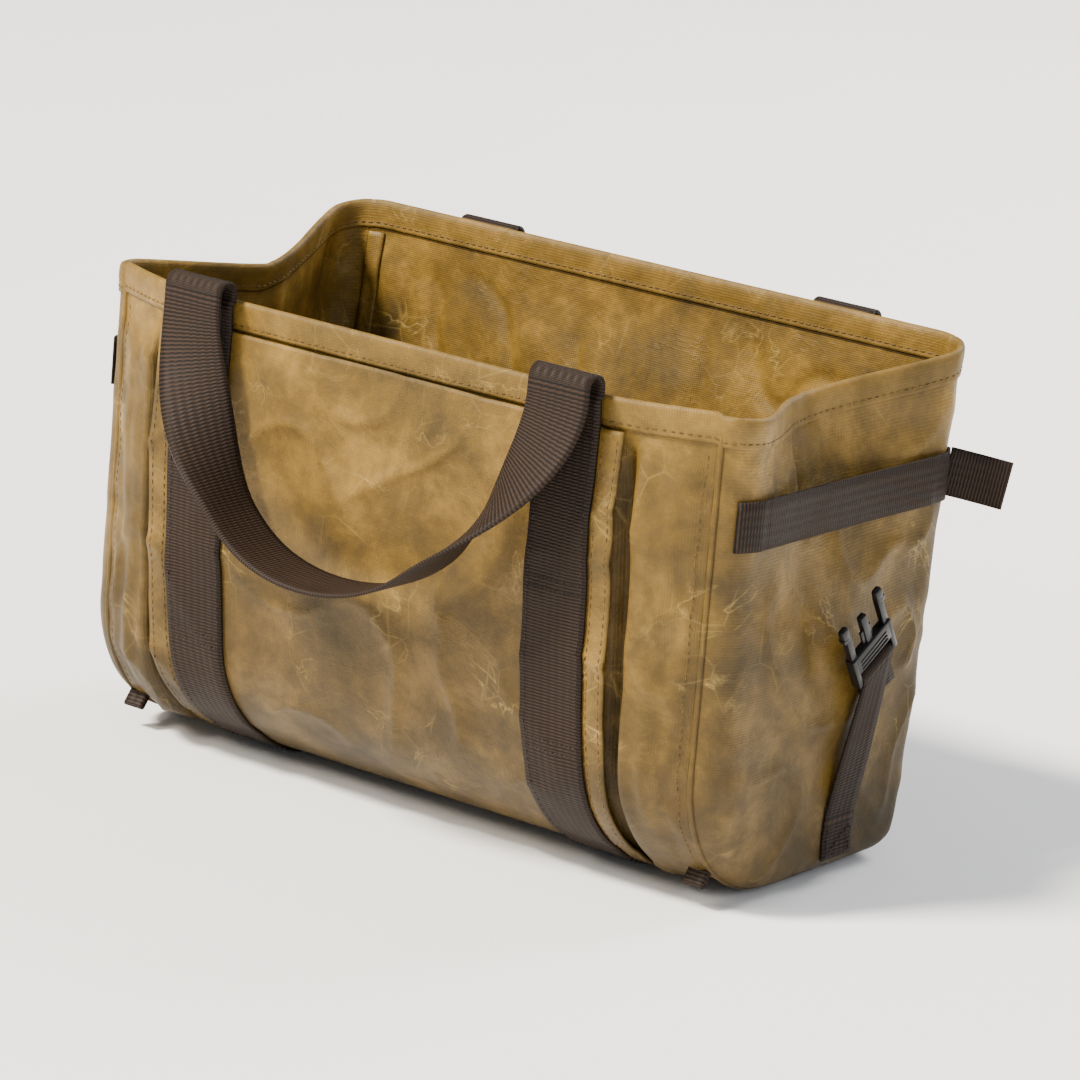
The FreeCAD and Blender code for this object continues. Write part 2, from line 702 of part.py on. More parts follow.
def base_board():
    body = new_body("base_board")
    sketch = new_sketch(body, "board_outline", "0")
    across = "Sizes.bag_width - 2 * (Sizes.seam_inset + Sizes.tape_width + Sizes.board_margin)"
    deep = "Sizes.bottom_depth - Sizes.front_radius - Sizes.rear_radius"
    sketch_rectangle(sketch, across, deep)
    board = pad(body, "board_pad", sketch, "Sizes.board_thick")
    rounding = body.newObject("PartDesign::Fillet", "board_corners")
    upright = [
        f"Edge{index + 1}"
        for index, edge in enumerate(board.Shape.Edges)
        if abs(edge.tangentAt(edge.FirstParameter).z) > 0.9
    ]
    rounding.Base = (board, upright)
    rounding.setExpression("Radius", "Sizes.board_corner")
    body.setExpression("Placement.Base.y", "(Sizes.front_radius - Sizes.rear_radius) / 2")
    bottom = "2 * (Sizes.canvas + Sizes.layer_gap) + Sizes.web_thick + Sizes.layer_gap"
    body.setExpression("Placement.Base.z", bottom)
    return body


parts.append(base_board())

# ---- Rear face: sleeve, carrier frame, struts, socket and screws ----
# These are built lying down, with local Y up the rear face and local Z away from it, and are then stood
# against the leaning rear face.

stand_up = Rotation(Vector(-1, 0, 0), Vector(0, 0, 1), Vector(0, 1, 0), "YXZ")
lean_rear = Rotation(Vector(1, 0, 0), -math.degrees(math.atan(rear_slope)))
rear_face = Placement(Vector(0, size("bottom_depth") / 2, floor), lean_rear * stand_up)

SLEEVE_WIDTH = "(Sizes.run_spacing - Sizes.web_width - 2 * Sizes.sleeve_margin)"
SHELL_WIDTH = "(Sizes.cavity_width + 2 * Sizes.socket_wall)"
SOCKET_PLATE = f"({SHELL_WIDTH} + 2 * Sizes.socket_ear)"
CAVITY_HEIGHT = "(Sizes.socket_height - Sizes.socket_cap)"
ROOM = "(2 * Sizes.slip + 2 * Sizes.tube_radius)"  # inside the sleeve, away from the rear face
TUBE_AXIS = "(Sizes.layer_gap + Sizes.slip + Sizes.tube_radius)"
STRUT_FACE = f"({TUBE_AXIS} + Sizes.strut_thick / 2)"
PLATE_FACE = f"({STRUT_FACE} + Sizes.layer_gap + Sizes.socket_plate_thick)"


def frame_sleeve():
    """Shallow canvas sleeve, open at the top, with a window for the socket."""
    body = new_body("frame_sleeve")
    wide = SLEEVE_WIDTH
    deep = f"({ROOM} + Sizes.canvas)"
    outside = (wide, "Sizes.sleeve_height", deep)
    outside_from = (f"-{wide} / 2", "Sizes.sleeve_low", "Sizes.layer_gap")
    body_box(body, "Additive", "sleeve_outside", outside, outside_from)
    doc.recompute()
    inside = (f"{wide} - 2 * Sizes.canvas", "Sizes.sleeve_height", f"{ROOM} + 1")
    inner_corner = (f"-{wide} / 2 + Sizes.canvas", "Sizes.sleeve_low + Sizes.canvas", "Sizes.layer_gap - 1")
    body_box(body, "Subtractive", "sleeve_inside", inside, inner_corner)
    doc.recompute()
    open_width = f"({SOCKET_PLATE} + 2 * Sizes.window_margin)"
    window = (open_width, "Sizes.socket_height + 2 * Sizes.window_rise", f"{deep} + 4")
    lowest = "Sizes.socket_low - Sizes.window_rise"
    body_box(body, "Subtractive", "sleeve_window", window, (f"-{open_width} / 2", lowest, "-1"))
    doc.recompute()
    body.Placement = rear_face
    return body


def frame_span():
    """Half width, lower and upper height of the tube loop's centre line on the rear face."""
    inset = size("canvas") + size("slip") + size("tube_radius")
    half = (size("run_spacing") - size("web_width")) / 2 - size("sleeve_margin") - inset
    low = size("sleeve_low") + inset
    high = size("sleeve_low") + size("sleeve_height") - inset
    return half, low, high


def carrier_frame():
    """Loop of round tube with bent corners, slid into the sleeve."""
    half, low, high = frame_span()
    away = gap + size("slip") + size("tube_radius")
    points = [
        Vector(0, low, away),
        Vector(half, low, away),
        Vector(half, high, away),
        Vector(-half, high, away),
        Vector(-half, low, away),
    ]
    bend = size("tube_bend")
    path = doc.addObject("Part::Feature", "frame_centre_line")
    path.Shape = rounded_wire(points, [0, bend, bend, bend, bend])
    section = doc.addObject("Part::Circle", "tube_section")
    section.setExpression("Radius", "Sizes.tube_radius")
    section.Placement = Placement(points[0], Rotation(Vector(0, 1, 0), 90))
    sweep = doc.addObject("Part::Sweep", "carrier_frame")
    sweep.Label = "carrier_frame"
    sweep.Sections = [section]
    sweep.Spine = (path, [f"Edge{index + 1}" for index in range(len(path.Shape.Edges))])
    sweep.Solid = True
    sweep.Frenet = False
    sweep.Placement = rear_face
    return sweep


def strut(name, height):
    """Flat bar across the tube loop, with two tapped holes for the socket's screws."""
    body = new_body(name)
    inset = "(Sizes.canvas + Sizes.slip + 2 * Sizes.tube_radius + Sizes.layer_gap)"
    long = f"({SLEEVE_WIDTH} - 2 * {inset})"
    bar = (long, "Sizes.strut_width", "Sizes.strut_thick")
    low = f"{TUBE_AXIS} - Sizes.strut_thick / 2"
    body_box(body, "Additive", f"{name}_bar", bar, (f"-{long} / 2", f"{height} - Sizes.strut_width / 2", low))
    doc.recompute()
    screw_holes(body, name, [height])
    body.Placement = rear_face
    return body


SCREW_X = f"({SOCKET_PLATE} / 2 - Sizes.screw_inset)"
LOWER = "(Sizes.socket_low + Sizes.strut_inset)"
UPPER = "(Sizes.socket_low + Sizes.socket_height - Sizes.strut_inset)"


def screw_holes(body, name, heights):
    """Through holes on both sides of the middle at each height."""
    for row, height in enumerate(heights):
        for column, sign in enumerate(("-", "")):
            hole = body.newObject("PartDesign::SubtractiveCylinder", f"{name}_hole_{row}{column}")
            hole.setExpression("Radius", "Sizes.screw_radius + Sizes.screw_clear")
            hole.setExpression("Height", "60")
            hole.AttachmentSupport = [(origin_plane(body, "XY_Plane"), "")]
            hole.MapMode = "FlatFace"
            hole.setExpression("AttachmentOffset.Base.x", f"{sign}{SCREW_X}")
            hole.setExpression("AttachmentOffset.Base.y", height)
            hole.setExpression("AttachmentOffset.Base.z", "-10")
            doc.recompute()


def carrier_socket():
    """Moulded socket, open at the bottom and slotted at the rear for the carrier block's neck."""
    body = new_body("carrier_socket")
    plate_low = f"{STRUT_FACE} + Sizes.layer_gap"
    plate = (SOCKET_PLATE, "Sizes.socket_height", "Sizes.socket_plate_thick")
    body_box(body, "Additive", "socket_plate", plate, (f"-{SOCKET_PLATE} / 2", "Sizes.socket_low", plate_low))
    deep = "(Sizes.cavity_depth + Sizes.socket_back)"
    block = (SHELL_WIDTH, "Sizes.socket_height", deep)
    body_box(body, "Additive", "socket_shell", block, (f"-{SHELL_WIDTH} / 2", "Sizes.socket_low", PLATE_FACE))
    doc.recompute()
    room = ("Sizes.cavity_width", f"{CAVITY_HEIGHT} + 5", "Sizes.cavity_depth")
    lowest = "Sizes.socket_low - 5"
    body_box(body, "Subtractive", "socket_cavity", room, ("-Sizes.cavity_width / 2", lowest, PLATE_FACE))
    neck = ("Sizes.slot_width", f"{CAVITY_HEIGHT} + 5", deep)
    neck_low = f"{PLATE_FACE} + Sizes.cavity_depth / 2"
    body_box(body, "Subtractive", "socket_slot", neck, ("-Sizes.slot_width / 2", lowest, neck_low))
    doc.recompute()
    screw_holes(body, "socket", [LOWER, UPPER])
    body.Placement = rear_face
    return body


def socket_screws():
    """Four button-head screws, from the plate's face through the struts."""
    pieces = []
    for row, height in enumerate((LOWER, UPPER)):
        for column, sign in enumerate(("-", "")):
            shank = doc.addObject("Part::Cylinder", f"screw_shank_{row}{column}")
            shank.setExpression("Radius", "Sizes.screw_radius")
            shank.setExpression("Placement.Base.z", "Sizes.layer_gap + 1")
            head = doc.addObject("Part::Cylinder", f"screw_head_{row}{column}")
            head.setExpression("Radius", "Sizes.screw_head")
            head.setExpression("Height", "Sizes.head_thick")
            head.setExpression("Placement.Base.z", f"{PLATE_FACE} + Sizes.layer_gap / 2")
            for piece in (shank, head):
                piece.setExpression("Placement.Base.x", f"{sign}{SCREW_X}")
                piece.setExpression("Placement.Base.y", height)
            shank.setExpression("Height", f"{PLATE_FACE} - Sizes.layer_gap - 1 + Sizes.head_thick / 2")
            screw = doc.addObject("Part::Fuse", f"screw_{row}{column}")
            screw.Base = shank
            screw.Tool = head
            pieces.append(screw)
    group = doc.addObject("Part::Compound", "socket_screws")
    group.Label = "socket_screws"
    group.Links = pieces
    group.Placement = rear_face
    return group


parts.append(frame_sleeve())
parts.append(carrier_frame())
parts.append(strut("frame_strut_lower", LOWER))
parts.append(strut("frame_strut_upper", UPPER))
parts.append(carrier_socket())
parts.append(socket_screws())

# ---- Check and write every sub-part ----

doc.recompute()
for item in doc.Objects:
    broken = {"Invalid", "Error"} & set(item.State)
    if broken:
        raise RuntimeError(f"{item.Label} failed to compute: {broken}")
for part in parts:
    if part.Shape.isNull() or not part.Shape.isValid() or not part.Shape.Solids:
        raise RuntimeError(f"{part.Label} has no valid shape")

os.makedirs("parts", exist_ok=True)
for part in parts:
    part.Shape.exportStep(f"parts/{part.Label}.step")
    box = part.Shape.BoundBox
    print(
        f"{part.Label:24s} solids {len(part.Shape.Solids)} volume {part.Shape.Volume:10.1f}"
        f"  x {box.XMin:7.1f}..{box.XMax:6.1f}  y {box.YMin:7.1f}..{box.YMax:6.1f}"
        f"  z {box.ZMin:6.1f}..{box.ZMax:6.1f}"
    )


def print_joint(name, point, axis):
    spot = f"{point.x:.3f} {point.y:.3f} {point.z:.3f}"
    print(f"{name}: point {spot}  axis {axis.x:.5f} {axis.y:.5f} {axis.z:.5f}")


for name, side in (("front_handle", -1), ("rear_handle", 1)):
    print_joint(name, Vector(0, *fold_centre(side)), Vector(side, 0, 0))
print_joint("buckle_strap_right", Vector(hinge_x, size("anchor_forward"), hinge_z), Vector(0, 1, 0))
print_joint("buckle_right", buckle_place().Base, buckle_place().Rotation.multVec(Vector(1, 0, 0)))
print_joint("side_strap_tail_right", tail_start(), Vector(0, 0, 1))
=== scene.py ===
import math
from bisect import bisect_right

import bmesh
import bpy
from mathutils import Matrix, Vector, noise


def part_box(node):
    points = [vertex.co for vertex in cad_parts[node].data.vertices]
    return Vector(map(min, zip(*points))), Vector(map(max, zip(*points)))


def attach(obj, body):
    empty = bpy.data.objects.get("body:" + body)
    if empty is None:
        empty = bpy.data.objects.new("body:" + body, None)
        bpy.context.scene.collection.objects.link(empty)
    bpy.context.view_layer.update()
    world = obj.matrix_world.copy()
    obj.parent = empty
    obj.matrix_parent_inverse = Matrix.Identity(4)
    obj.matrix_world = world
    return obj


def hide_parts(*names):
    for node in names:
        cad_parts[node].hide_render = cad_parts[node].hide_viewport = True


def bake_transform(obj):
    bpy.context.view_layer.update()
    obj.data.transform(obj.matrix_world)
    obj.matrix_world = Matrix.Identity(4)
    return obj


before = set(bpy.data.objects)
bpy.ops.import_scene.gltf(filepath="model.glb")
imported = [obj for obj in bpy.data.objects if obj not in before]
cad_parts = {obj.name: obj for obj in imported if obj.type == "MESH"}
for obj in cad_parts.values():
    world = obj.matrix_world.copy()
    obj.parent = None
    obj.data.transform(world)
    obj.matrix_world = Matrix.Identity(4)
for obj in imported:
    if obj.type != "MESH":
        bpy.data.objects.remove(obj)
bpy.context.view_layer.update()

# A soft basket bag of waxed canvas for a small-wheeled bicycle. Its front faces -Y and it stands on its own
# webbing. Sizes are in millimetres and are scaled to metres where a mesh is finished.

# ---- Studio ----
# A pale floor under a strong, fairly soft light from high on the front left, with a small lamp before the
# front, a large weak one on the right and one behind. The camera looks down on the front right corner.

MM = 0.001


def linear(colour):
    """An sRGB hex colour as linear red, green, blue and alpha."""
    parts = [int(colour[i : i + 2], 16) / 255 for i in (1, 3, 5)]
    return [c / 12.92 if c <= 0.04045 else ((c + 0.055) / 1.055) ** 2.4 for c in parts] + [1.0]


def add_node(tree, kind, inputs=None, stops=None, **settings):
    """Adds a node with its settings; each input is a value or the output that feeds it."""
    node = tree.nodes.new(kind)
    for field, value in settings.items():
        setattr(node, field, value)
    if stops:
        band = node.color_ramp
        band.elements[0].position, band.elements[0].color = stops[0]
        band.elements[1].position, band.elements[1].color = stops[-1]
        for position, colour in stops[1:-1]:
            band.elements.new(position).color = colour
    for socket, value in (inputs or {}).items():
        if isinstance(value, bpy.types.NodeSocket):
            tree.links.new(value, node.inputs[socket])
        else:
            node.inputs[socket].default_value = value
    return node


def new_material(name):
    """An empty node material: its tree, its surface shader and its object coordinates."""
    material = bpy.data.materials.new(name)
    material.use_nodes = True
    tree = material.node_tree
    tree.nodes.clear()
    shader = add_node(tree, "ShaderNodeBsdfPrincipled")
    add_node(tree, "ShaderNodeOutputMaterial", {"Surface": shader.outputs["BSDF"]})
    place = add_node(tree, "ShaderNodeTexCoord")
    return material, tree, shader, place


# Matt studio paper: almost even, so that only the shadow shows on it.
PAPER, paper_tree, paper_shader, paper_place = new_material("matt_backdrop_paper")
paper_grain = add_node(
    paper_tree, "ShaderNodeTexNoise", {"Vector": paper_place.outputs["Object"], "Scale": 3.0, "Detail": 3.0}
)
paper_tone = add_node(
    paper_tree,
    "ShaderNodeValToRGB",
    {"Fac": paper_grain.outputs["Fac"]},
    stops=[(0.3, linear("#F0F0EF")), (0.7, linear("#F3F3F2"))],
)
paper_tree.links.new(paper_tone.outputs["Color"], paper_shader.inputs["Base Color"])
paper_shader.inputs["Roughness"].default_value = 0.85

floor_mesh = bpy.data.meshes.new("floor")
floor_bm = bmesh.new()
bmesh.ops.create_grid(floor_bm, x_segments=1, y_segments=1, size=12)
floor_bm.to_mesh(floor_mesh)
floor_bm.free()
floor = bpy.data.objects.new("floor", floor_mesh)
floor.data.materials.append(PAPER)
bpy.context.scene.collection.objects.link(floor)

world = bpy.data.worlds.new("studio")
bpy.context.scene.world = world
world.use_nodes = True
world.node_tree.nodes["Background"].inputs["Color"].default_value = linear("#E9ECEF")
world.node_tree.nodes["Background"].inputs["Strength"].default_value = 0.55

middle = Vector((0, 0, 130)) * MM
for light_name, kind, spot, width, power, colour in (
    ("key_light", "SUN", (-1.1, -1.7, 2.7), math.radians(11), 9.0, "#FFF7EA"),
    ("front_light", "AREA", (-0.45, -1.15, 0.95), 0.4, 13, "#FFF4E2"),
    ("right_light", "AREA", (2.6, -1.2, 1.6), 1.4, 30, "#F2F6FF"),
    ("rear_light", "AREA", (0.6, 2.6, 2.2), 1.6, 95, "#FFFFFF"),
):
    lamp = bpy.data.lights.new(light_name, kind)
    if kind == "SUN":
        lamp.angle = width
    else:
        lamp.shape = "DISK"
        lamp.size = width
    lamp.energy = power
    lamp.color = linear(colour)[:3]
    light = bpy.data.objects.new(light_name, lamp)
    light.location = spot
    light.rotation_euler = (middle - Vector(spot)).to_track_quat("-Z", "Y").to_euler()
    bpy.context.scene.collection.objects.link(light)

CAMERA_AZIMUTH = math.radians(36.1)
CAMERA_ELEVATION = math.radians(14.8)
CAMERA_ROLL = math.radians(5.0)
CAMERA_TARGET = Vector((15, 8.5, 136.7)) * MM
CAMERA_DISTANCE = 2.6
towards = Vector(
    (
        math.sin(CAMERA_AZIMUTH) * math.cos(CAMERA_ELEVATION),
        -math.cos(CAMERA_AZIMUTH) * math.cos(CAMERA_ELEVATION),
        math.sin(CAMERA_ELEVATION),
    )
)
level = Vector((math.cos(CAMERA_AZIMUTH), math.sin(CAMERA_AZIMUTH), 0))
upright = towards.cross(level)
camera_right = level * math.cos(CAMERA_ROLL) + upright * math.sin(CAMERA_ROLL)
camera_up = upright * math.cos(CAMERA_ROLL) - level * math.sin(CAMERA_ROLL)
lens = bpy.data.cameras.new("camera")
lens.lens = 168.0
lens.sensor_width = 36
lens.clip_end = 60
camera = bpy.data.objects.new("camera", lens)
camera.matrix_world = Matrix.Translation(CAMERA_TARGET + towards * CAMERA_DISTANCE) @ Matrix(
    (camera_right, camera_up, towards)
).transposed().to_4x4()
bpy.context.scene.collection.objects.link(camera)
bpy.context.scene.camera = camera

# ---- Main panel ----
# One long piece of heavy cotton canvas, soaked in wax, runs down the front, under the bottom and up the
# rear. It is sewn to the side panels along both edges and bound with the rim strip at both ends.

CANVAS = 1.4
FLOOR = 3.4
FRONT_RIM = 254.0
REAR_RIM = 267.0
RIM_DIP = 246.5
BOTTOM_HALF = 90.0
MOUTH_HALF = 111.0
SEAM_X = 190.0
FRONT_BEND = 78.0
REAR_BEND = 26.0
FRONT_SLOPE = (MOUTH_HALF - BOTTOM_HALF) / (FRONT_RIM - FLOOR)
REAR_SLOPE = (MOUTH_HALF - BOTTOM_HALF) / (REAR_RIM - FLOOR)
RECESS = 19.0
RECESS_START = 137.0
POCKET_HALF = 147.0
POCKET_BULGE = 10.0
PUFF = 10.5
TUCK = 7.0
GATHER = 2.6
SEAM_PUCKER = 1.5
PUCKER_PERIOD = 5.3
REAR_SAG = 3.5


def soft_step(value, start, end):
    """0 before start, 1 after end, and smooth between them."""
    share = min(max((value - start) / (end - start), 0.0), 1.0)
    return share * share * (3 - 2 * share)


def hump(value, centre, reach):
    """A smooth rise of 1 at the centre that fades out at the reach."""
    return math.exp(-(((value - centre) / reach) ** 2))


def crumple(point, seed):
    """Dents and soft creases of stiff waxed canvas at a point, in mm."""
    spot = point + Vector((seed * 311.0, seed * 57.0, 0))
    broad = noise.noise(spot / 74)
    small = noise.noise(spot / 27 + Vector((3.1, 0, 7.7)))
    crease = (1 - abs(noise.noise(spot / 52 + Vector((5.1, 2.3, 8.8))))) ** 9
    return 2.6 * broad + 0.8 * small + 2.4 * crease - 0.9


def rounded_path(corners, radii):
    """A line of points through the corners, with a round bend at each that has a radius."""
    path = [corners[0]]
    for before, corner, after, radius in zip(corners, corners[1:], corners[2:], radii):
        back = (before - corner).normalized()
        ahead = (after - corner).normalized()
        half = back.angle(ahead) / 2
        centre = corner + (back + ahead).normalized() * radius / math.sin(half)
        start = corner + back * radius / math.tan(half) - centre
        end = corner + ahead * radius / math.tan(half) - centre
        turns = max(4, int(math.degrees(math.pi - 2 * half) / 3))
        path += [centre + start.slerp(end, i / turns) * radius for i in range(turns + 1)]
    return path + [corners[-1]]


def traveller(path):
    """A function giving the point and direction at a distance along a path, and the path's length."""
    reach = [0.0]
    for first, second in zip(path, path[1:]):
        reach.append(reach[-1] + (second - first).length)

    def at(distance):
        distance = min(max(distance, 0.0), reach[-1])
        index = min(bisect_right(reach, distance), len(path) - 1)
        first, second = path[index - 1], path[index]
        share = (distance - reach[index - 1]) / (reach[index] - reach[index - 1])
        return first.lerp(second, share), (second - first).normalized()

    return at, reach[-1]


def front_y(height):
    return -BOTTOM_HALF - (height - FLOOR) * FRONT_SLOPE


def rear_y(height):
    return BOTTOM_HALF + (height - FLOOR) * REAR_SLOPE


def rim_height(y):
    """Height of the rim above a depth: highest at the rear, lowest at the middle of each side."""
    rise = FRONT_RIM - RIM_DIP if y < 0 else REAR_RIM - RIM_DIP
    return RIM_DIP + rise * math.sqrt((y / MOUTH_HALF) ** 2 + 0.004)


wrap_at, WRAP = traveller(
    rounded_path(
        [
            Vector((0, front_y(FRONT_RIM), FRONT_RIM)),
            Vector((0, -BOTTOM_HALF, FLOOR)),
            Vector((0, BOTTOM_HALF, FLOOR)),
            Vector((0, rear_y(REAR_RIM), REAR_RIM)),
        ],
        [FRONT_BEND, REAR_BEND],
    )
)
FRONT_RUN = 179.7


def wrapped(x, run, lift):
    """Point at x and a distance from the front rim round the wrap, lifted off the canvas."""
    point, ahead = wrap_at(run)
    outward = Vector((0, ahead.z, -ahead.y))
    height = min(1.0, max(0.0, (point.z - FLOOR) / (FRONT_RIM - FLOOR)))
    aside = min(max((abs(x) - RECESS_START) / (SEAM_X - RECESS_START), 0.0), 1.2)
    recess = RECESS * height * aside**1.25 * max(0.0, -outward.y)
    rear_turn = 3.0 * min(1.0, max(0.0, (abs(x) - 178) / 12)) ** 2 * max(0.0, outward.y)
    spot = Vector((x, point.y, point.z)) + outward * (lift - recess - rear_turn)
    full = FRONT_RIM if spot.y < 0 else REAR_RIM
    spot.z -= max(0.0, full - rim_height(spot.y)) * (max(0.0, spot.z) / full) ** 4
    return spot


def main_lift(x, run):
    """How far the main panel stands off its flat wrap.

    It puffs out and gathers beside the front pocket, is drawn in along the pocket's edge, puckers at the side
    seams and sags at the middle of the rear.
    """
    side = abs(x)
    span = min(max(run / (FRONT_RUN + 90), 0.0), 1.0)
    fade = soft_step(run, 8, 45) * soft_step(WRAP - run, 8, 60)
    bow = math.sin(math.pi * span) ** 0.6 if 0 < span < 1 else 0.0
    puff = PUFF * bow * soft_step(side, POCKET_HALF + 2.5, POCKET_HALF + 9)
    puff *= 1 - soft_step(side, 166, SEAM_X + 4)
    puff -= TUCK * bow * hump(side, POCKET_HALF, 4)
    gathers = noise.noise(Vector((side / 7.5, 11.0, run / 62))) * GATHER * bow * soft_step(side, 153, 162)
    puff += gathers * (1 - soft_step(side, 178, SEAM_X))
    wander = noise.noise(Vector((run / 31, x / 300, 4)))
    pucker = SEAM_PUCKER * soft_step(side, 160, 186) * math.sin(run / PUCKER_PERIOD + 2.2 * wander)
    pucker *= 0.35 + 0.65 * abs(noise.noise(Vector((run / 60, 9.0, side / 200))))
    point, _ = wrap_at(run)
    folds = crumple(Vector((x, point.y, point.z)), 1)
    under_pocket = side < POCKET_HALF + 4 and run < 430
    folds *= 0.0 if under_pocket else soft_step(SEAM_X - side, 0, 14)
    sag = REAR_SAG * hump(x, 0, 120) * soft_step(run, WRAP - 260, WRAP - 120)
    sag *= 1 - soft_step(run, WRAP - 90, WRAP - 10)
    return fade * (puff + pucker * soft_step(SEAM_X + 1 - side, 0, 5) + folds - sag)


def main_panel_point(u, v):
    x = (1 - 2 * u) * SEAM_X
    return wrapped(x, v * WRAP, main_lift(x, v * WRAP))


# Waxed cotton canvas, dyed tan: uneven, with lighter marks where the wax has been creased, a fine weave and
# a dull waxy shine. The weave is drawn at about twice its real thread spacing, or it would not show.
WEAVE_PERIOD = 1.1
WAVE_SCALE = 0.314 / MM  # the wave texture's scale for a period of one millimetre


def waxed_canvas(name, dark, tan, light, mark):
    material, tree, shader, place = new_material(name)
    spot = place.outputs["Object"]
    patches = add_node(
        tree,
        "ShaderNodeTexNoise",
        {"Vector": spot, "Scale": 1 / (46 * MM), "Detail": 9.0, "Roughness": 0.7, "Distortion": 0.2},
    )
    tone = add_node(
        tree,
        "ShaderNodeValToRGB",
        {"Fac": patches.outputs["Fac"]},
        stops=[(0.33, linear(dark)), (0.5, linear(tan)), (0.67, linear(light))],
    )
    # Painted light and shade: the cloth is painted darker towards the foot and lighter towards the top, as
    # light from above falls on it, with a slow noise that moves where the change comes.
    cloud = add_node(
        tree,
        "ShaderNodeTexNoise",
        {"Vector": spot, "Scale": 1 / (150 * MM), "Detail": 3.0, "Roughness": 0.5},
    )
    parts = add_node(tree, "ShaderNodeSeparateXYZ", {"Vector": spot})
    drift = add_node(
        tree,
        "ShaderNodeMath",
        {0: cloud.outputs["Fac"], 1: 0.5, 2: -0.25},
        operation="MULTIPLY_ADD",
    )
    height = add_node(
        tree,
        "ShaderNodeMath",
        {0: parts.outputs["Z"], 1: 1 / (260 * MM), 2: drift.outputs[0]},
        operation="MULTIPLY_ADD",
    )
    # Painted shade low down and painted light high up, multiplied into the canvas tone below.
    painted_top_light_foot_shade = add_node(
        tree,
        "ShaderNodeValToRGB",
        {"Fac": height.outputs[0]},
        stops=[(0.05, (0.5, 0.5, 0.48, 1)), (0.85, (1.34, 1.32, 1.26, 1))],
    )
    tone = add_node(
        tree,
        "ShaderNodeMix",
        {0: 1.0, 6: tone.outputs["Color"], 7: painted_top_light_foot_shade.outputs["Color"]},
        data_type="RGBA",
        blend_type="MULTIPLY",
    )
    # Creases in the wax: thin wandering lines, stronger in some places than in others.
    crease = add_node(
        tree,
        "ShaderNodeTexNoise",
        {"Vector": spot, "Scale": 1 / (55 * MM), "Detail": 4.0, "Roughness": 0.55, "Distortion": 1.1},
    )
    off = add_node(tree, "ShaderNodeMath", {0: crease.outputs["Fac"], 1: 0.5}, operation="SUBTRACT")
    near = add_node(tree, "ShaderNodeMath", {0: off.outputs[0]}, operation="ABSOLUTE")
    line = add_node(
        tree,
        "ShaderNodeValToRGB",
        {"Fac": near.outputs[0]},
        stops=[(0.0, (0.8, 0.8, 0.8, 1)), (0.004, (0.3, 0.3, 0.3, 1)), (0.02, (0, 0, 0, 1))],
    )
    worn = add_node(
        tree,
        "ShaderNodeTexNoise",
        {"Vector": spot, "Scale": 1 / (38 * MM), "Detail": 2.0, "Roughness": 0.5},
    )
    where = add_node(
        tree,
        "ShaderNodeValToRGB",
        {"Fac": worn.outputs["Fac"]},
        stops=[(0.5, (0, 0, 0, 1)), (0.72, (0.6, 0.6, 0.6, 1))],
    )
    share = add_node(
        tree, "ShaderNodeMath", {0: line.outputs["Color"], 1: where.outputs["Color"]}, operation="MULTIPLY"
    )
    # Short scuffs a few millimetres long.
    scuff_cells = add_node(
        tree,
        "ShaderNodeTexVoronoi",
        {"Vector": spot, "Scale": 1 / (26 * MM), "Randomness": 1.0},
        feature="DISTANCE_TO_EDGE",
    )
    scuff_line = add_node(
        tree,
        "ShaderNodeValToRGB",
        {"Fac": scuff_cells.outputs["Distance"]},
        stops=[(0.0, (0.3, 0.3, 0.3, 1)), (0.025, (0, 0, 0, 1))],
    )
    scuff = add_node(
        tree,
        "ShaderNodeMath",
        {0: scuff_line.outputs["Color"], 1: where.outputs["Color"]},
        operation="MULTIPLY",
    )
    marks = add_node(
        tree, "ShaderNodeMath", {0: share.outputs[0], 1: scuff.outputs[0]}, operation="MAXIMUM"
    )
    marked = add_node(
        tree,
        "ShaderNodeMix",
        {0: marks.outputs[0], 6: tone.outputs[2], 7: linear(mark)},
        data_type="RGBA",
    )
    # The weave: threads across and along the cloth, with uneven thick ones.
    threads = []
    for direction in ("X", "Y"):
        threads.append(
            add_node(
                tree,
                "ShaderNodeTexWave",
                {
                    "Vector": place.outputs["UV"],
                    "Scale": WAVE_SCALE / WEAVE_PERIOD,
                    "Distortion": 1.2,
                    "Detail": 2.0,
                    "Detail Scale": 0.6,
                },
                bands_direction=direction,
            )
        )
    weave = add_node(
        tree,
        "ShaderNodeMath",
        {0: threads[0].outputs["Fac"], 1: threads[1].outputs["Fac"]},
        operation="MULTIPLY",
    )
    shade = add_node(
        tree,
        "ShaderNodeValToRGB",
        {"Fac": weave.outputs[0]},
        stops=[(0.0, (0.86, 0.86, 0.86, 1)), (0.6, (1.04, 1.04, 1.04, 1))],
    )
    woven = add_node(
        tree,
        "ShaderNodeMix",
        {0: 1.0, 6: marked.outputs[2], 7: shade.outputs["Color"]},
        data_type="RGBA",
        blend_type="MULTIPLY",
    )
    tree.links.new(woven.outputs[2], shader.inputs["Base Color"])
    dents = add_node(
        tree,
        "ShaderNodeTexNoise",
        {"Vector": spot, "Scale": 1 / (17 * MM), "Detail": 5.0, "Roughness": 0.6},
    )
    dented = add_node(
        tree, "ShaderNodeBump", {"Strength": 0.42, "Distance": 2.2 * MM, "Height": dents.outputs["Fac"]}
    )
    ridged = add_node(
        tree,
        "ShaderNodeBump",
        {
            "Strength": 0.35,
            "Distance": 0.5 * MM,
            "Height": line.outputs["Color"],
            "Normal": dented.outputs["Normal"],
        },
    )
    bumped = add_node(
        tree,
        "ShaderNodeBump",
        {
            "Strength": 0.5,
            "Distance": 0.22 * MM,
            "Height": weave.outputs[0],
            "Normal": ridged.outputs["Normal"],
        },
    )
    tree.links.new(bumped.outputs["Normal"], shader.inputs["Normal"])
    dull = add_node(
        tree,
        "ShaderNodeMapRange",
        {"Value": patches.outputs["Fac"], "From Min": 0.3, "From Max": 0.7, "To Min": 0.62, "To Max": 0.44},
    )
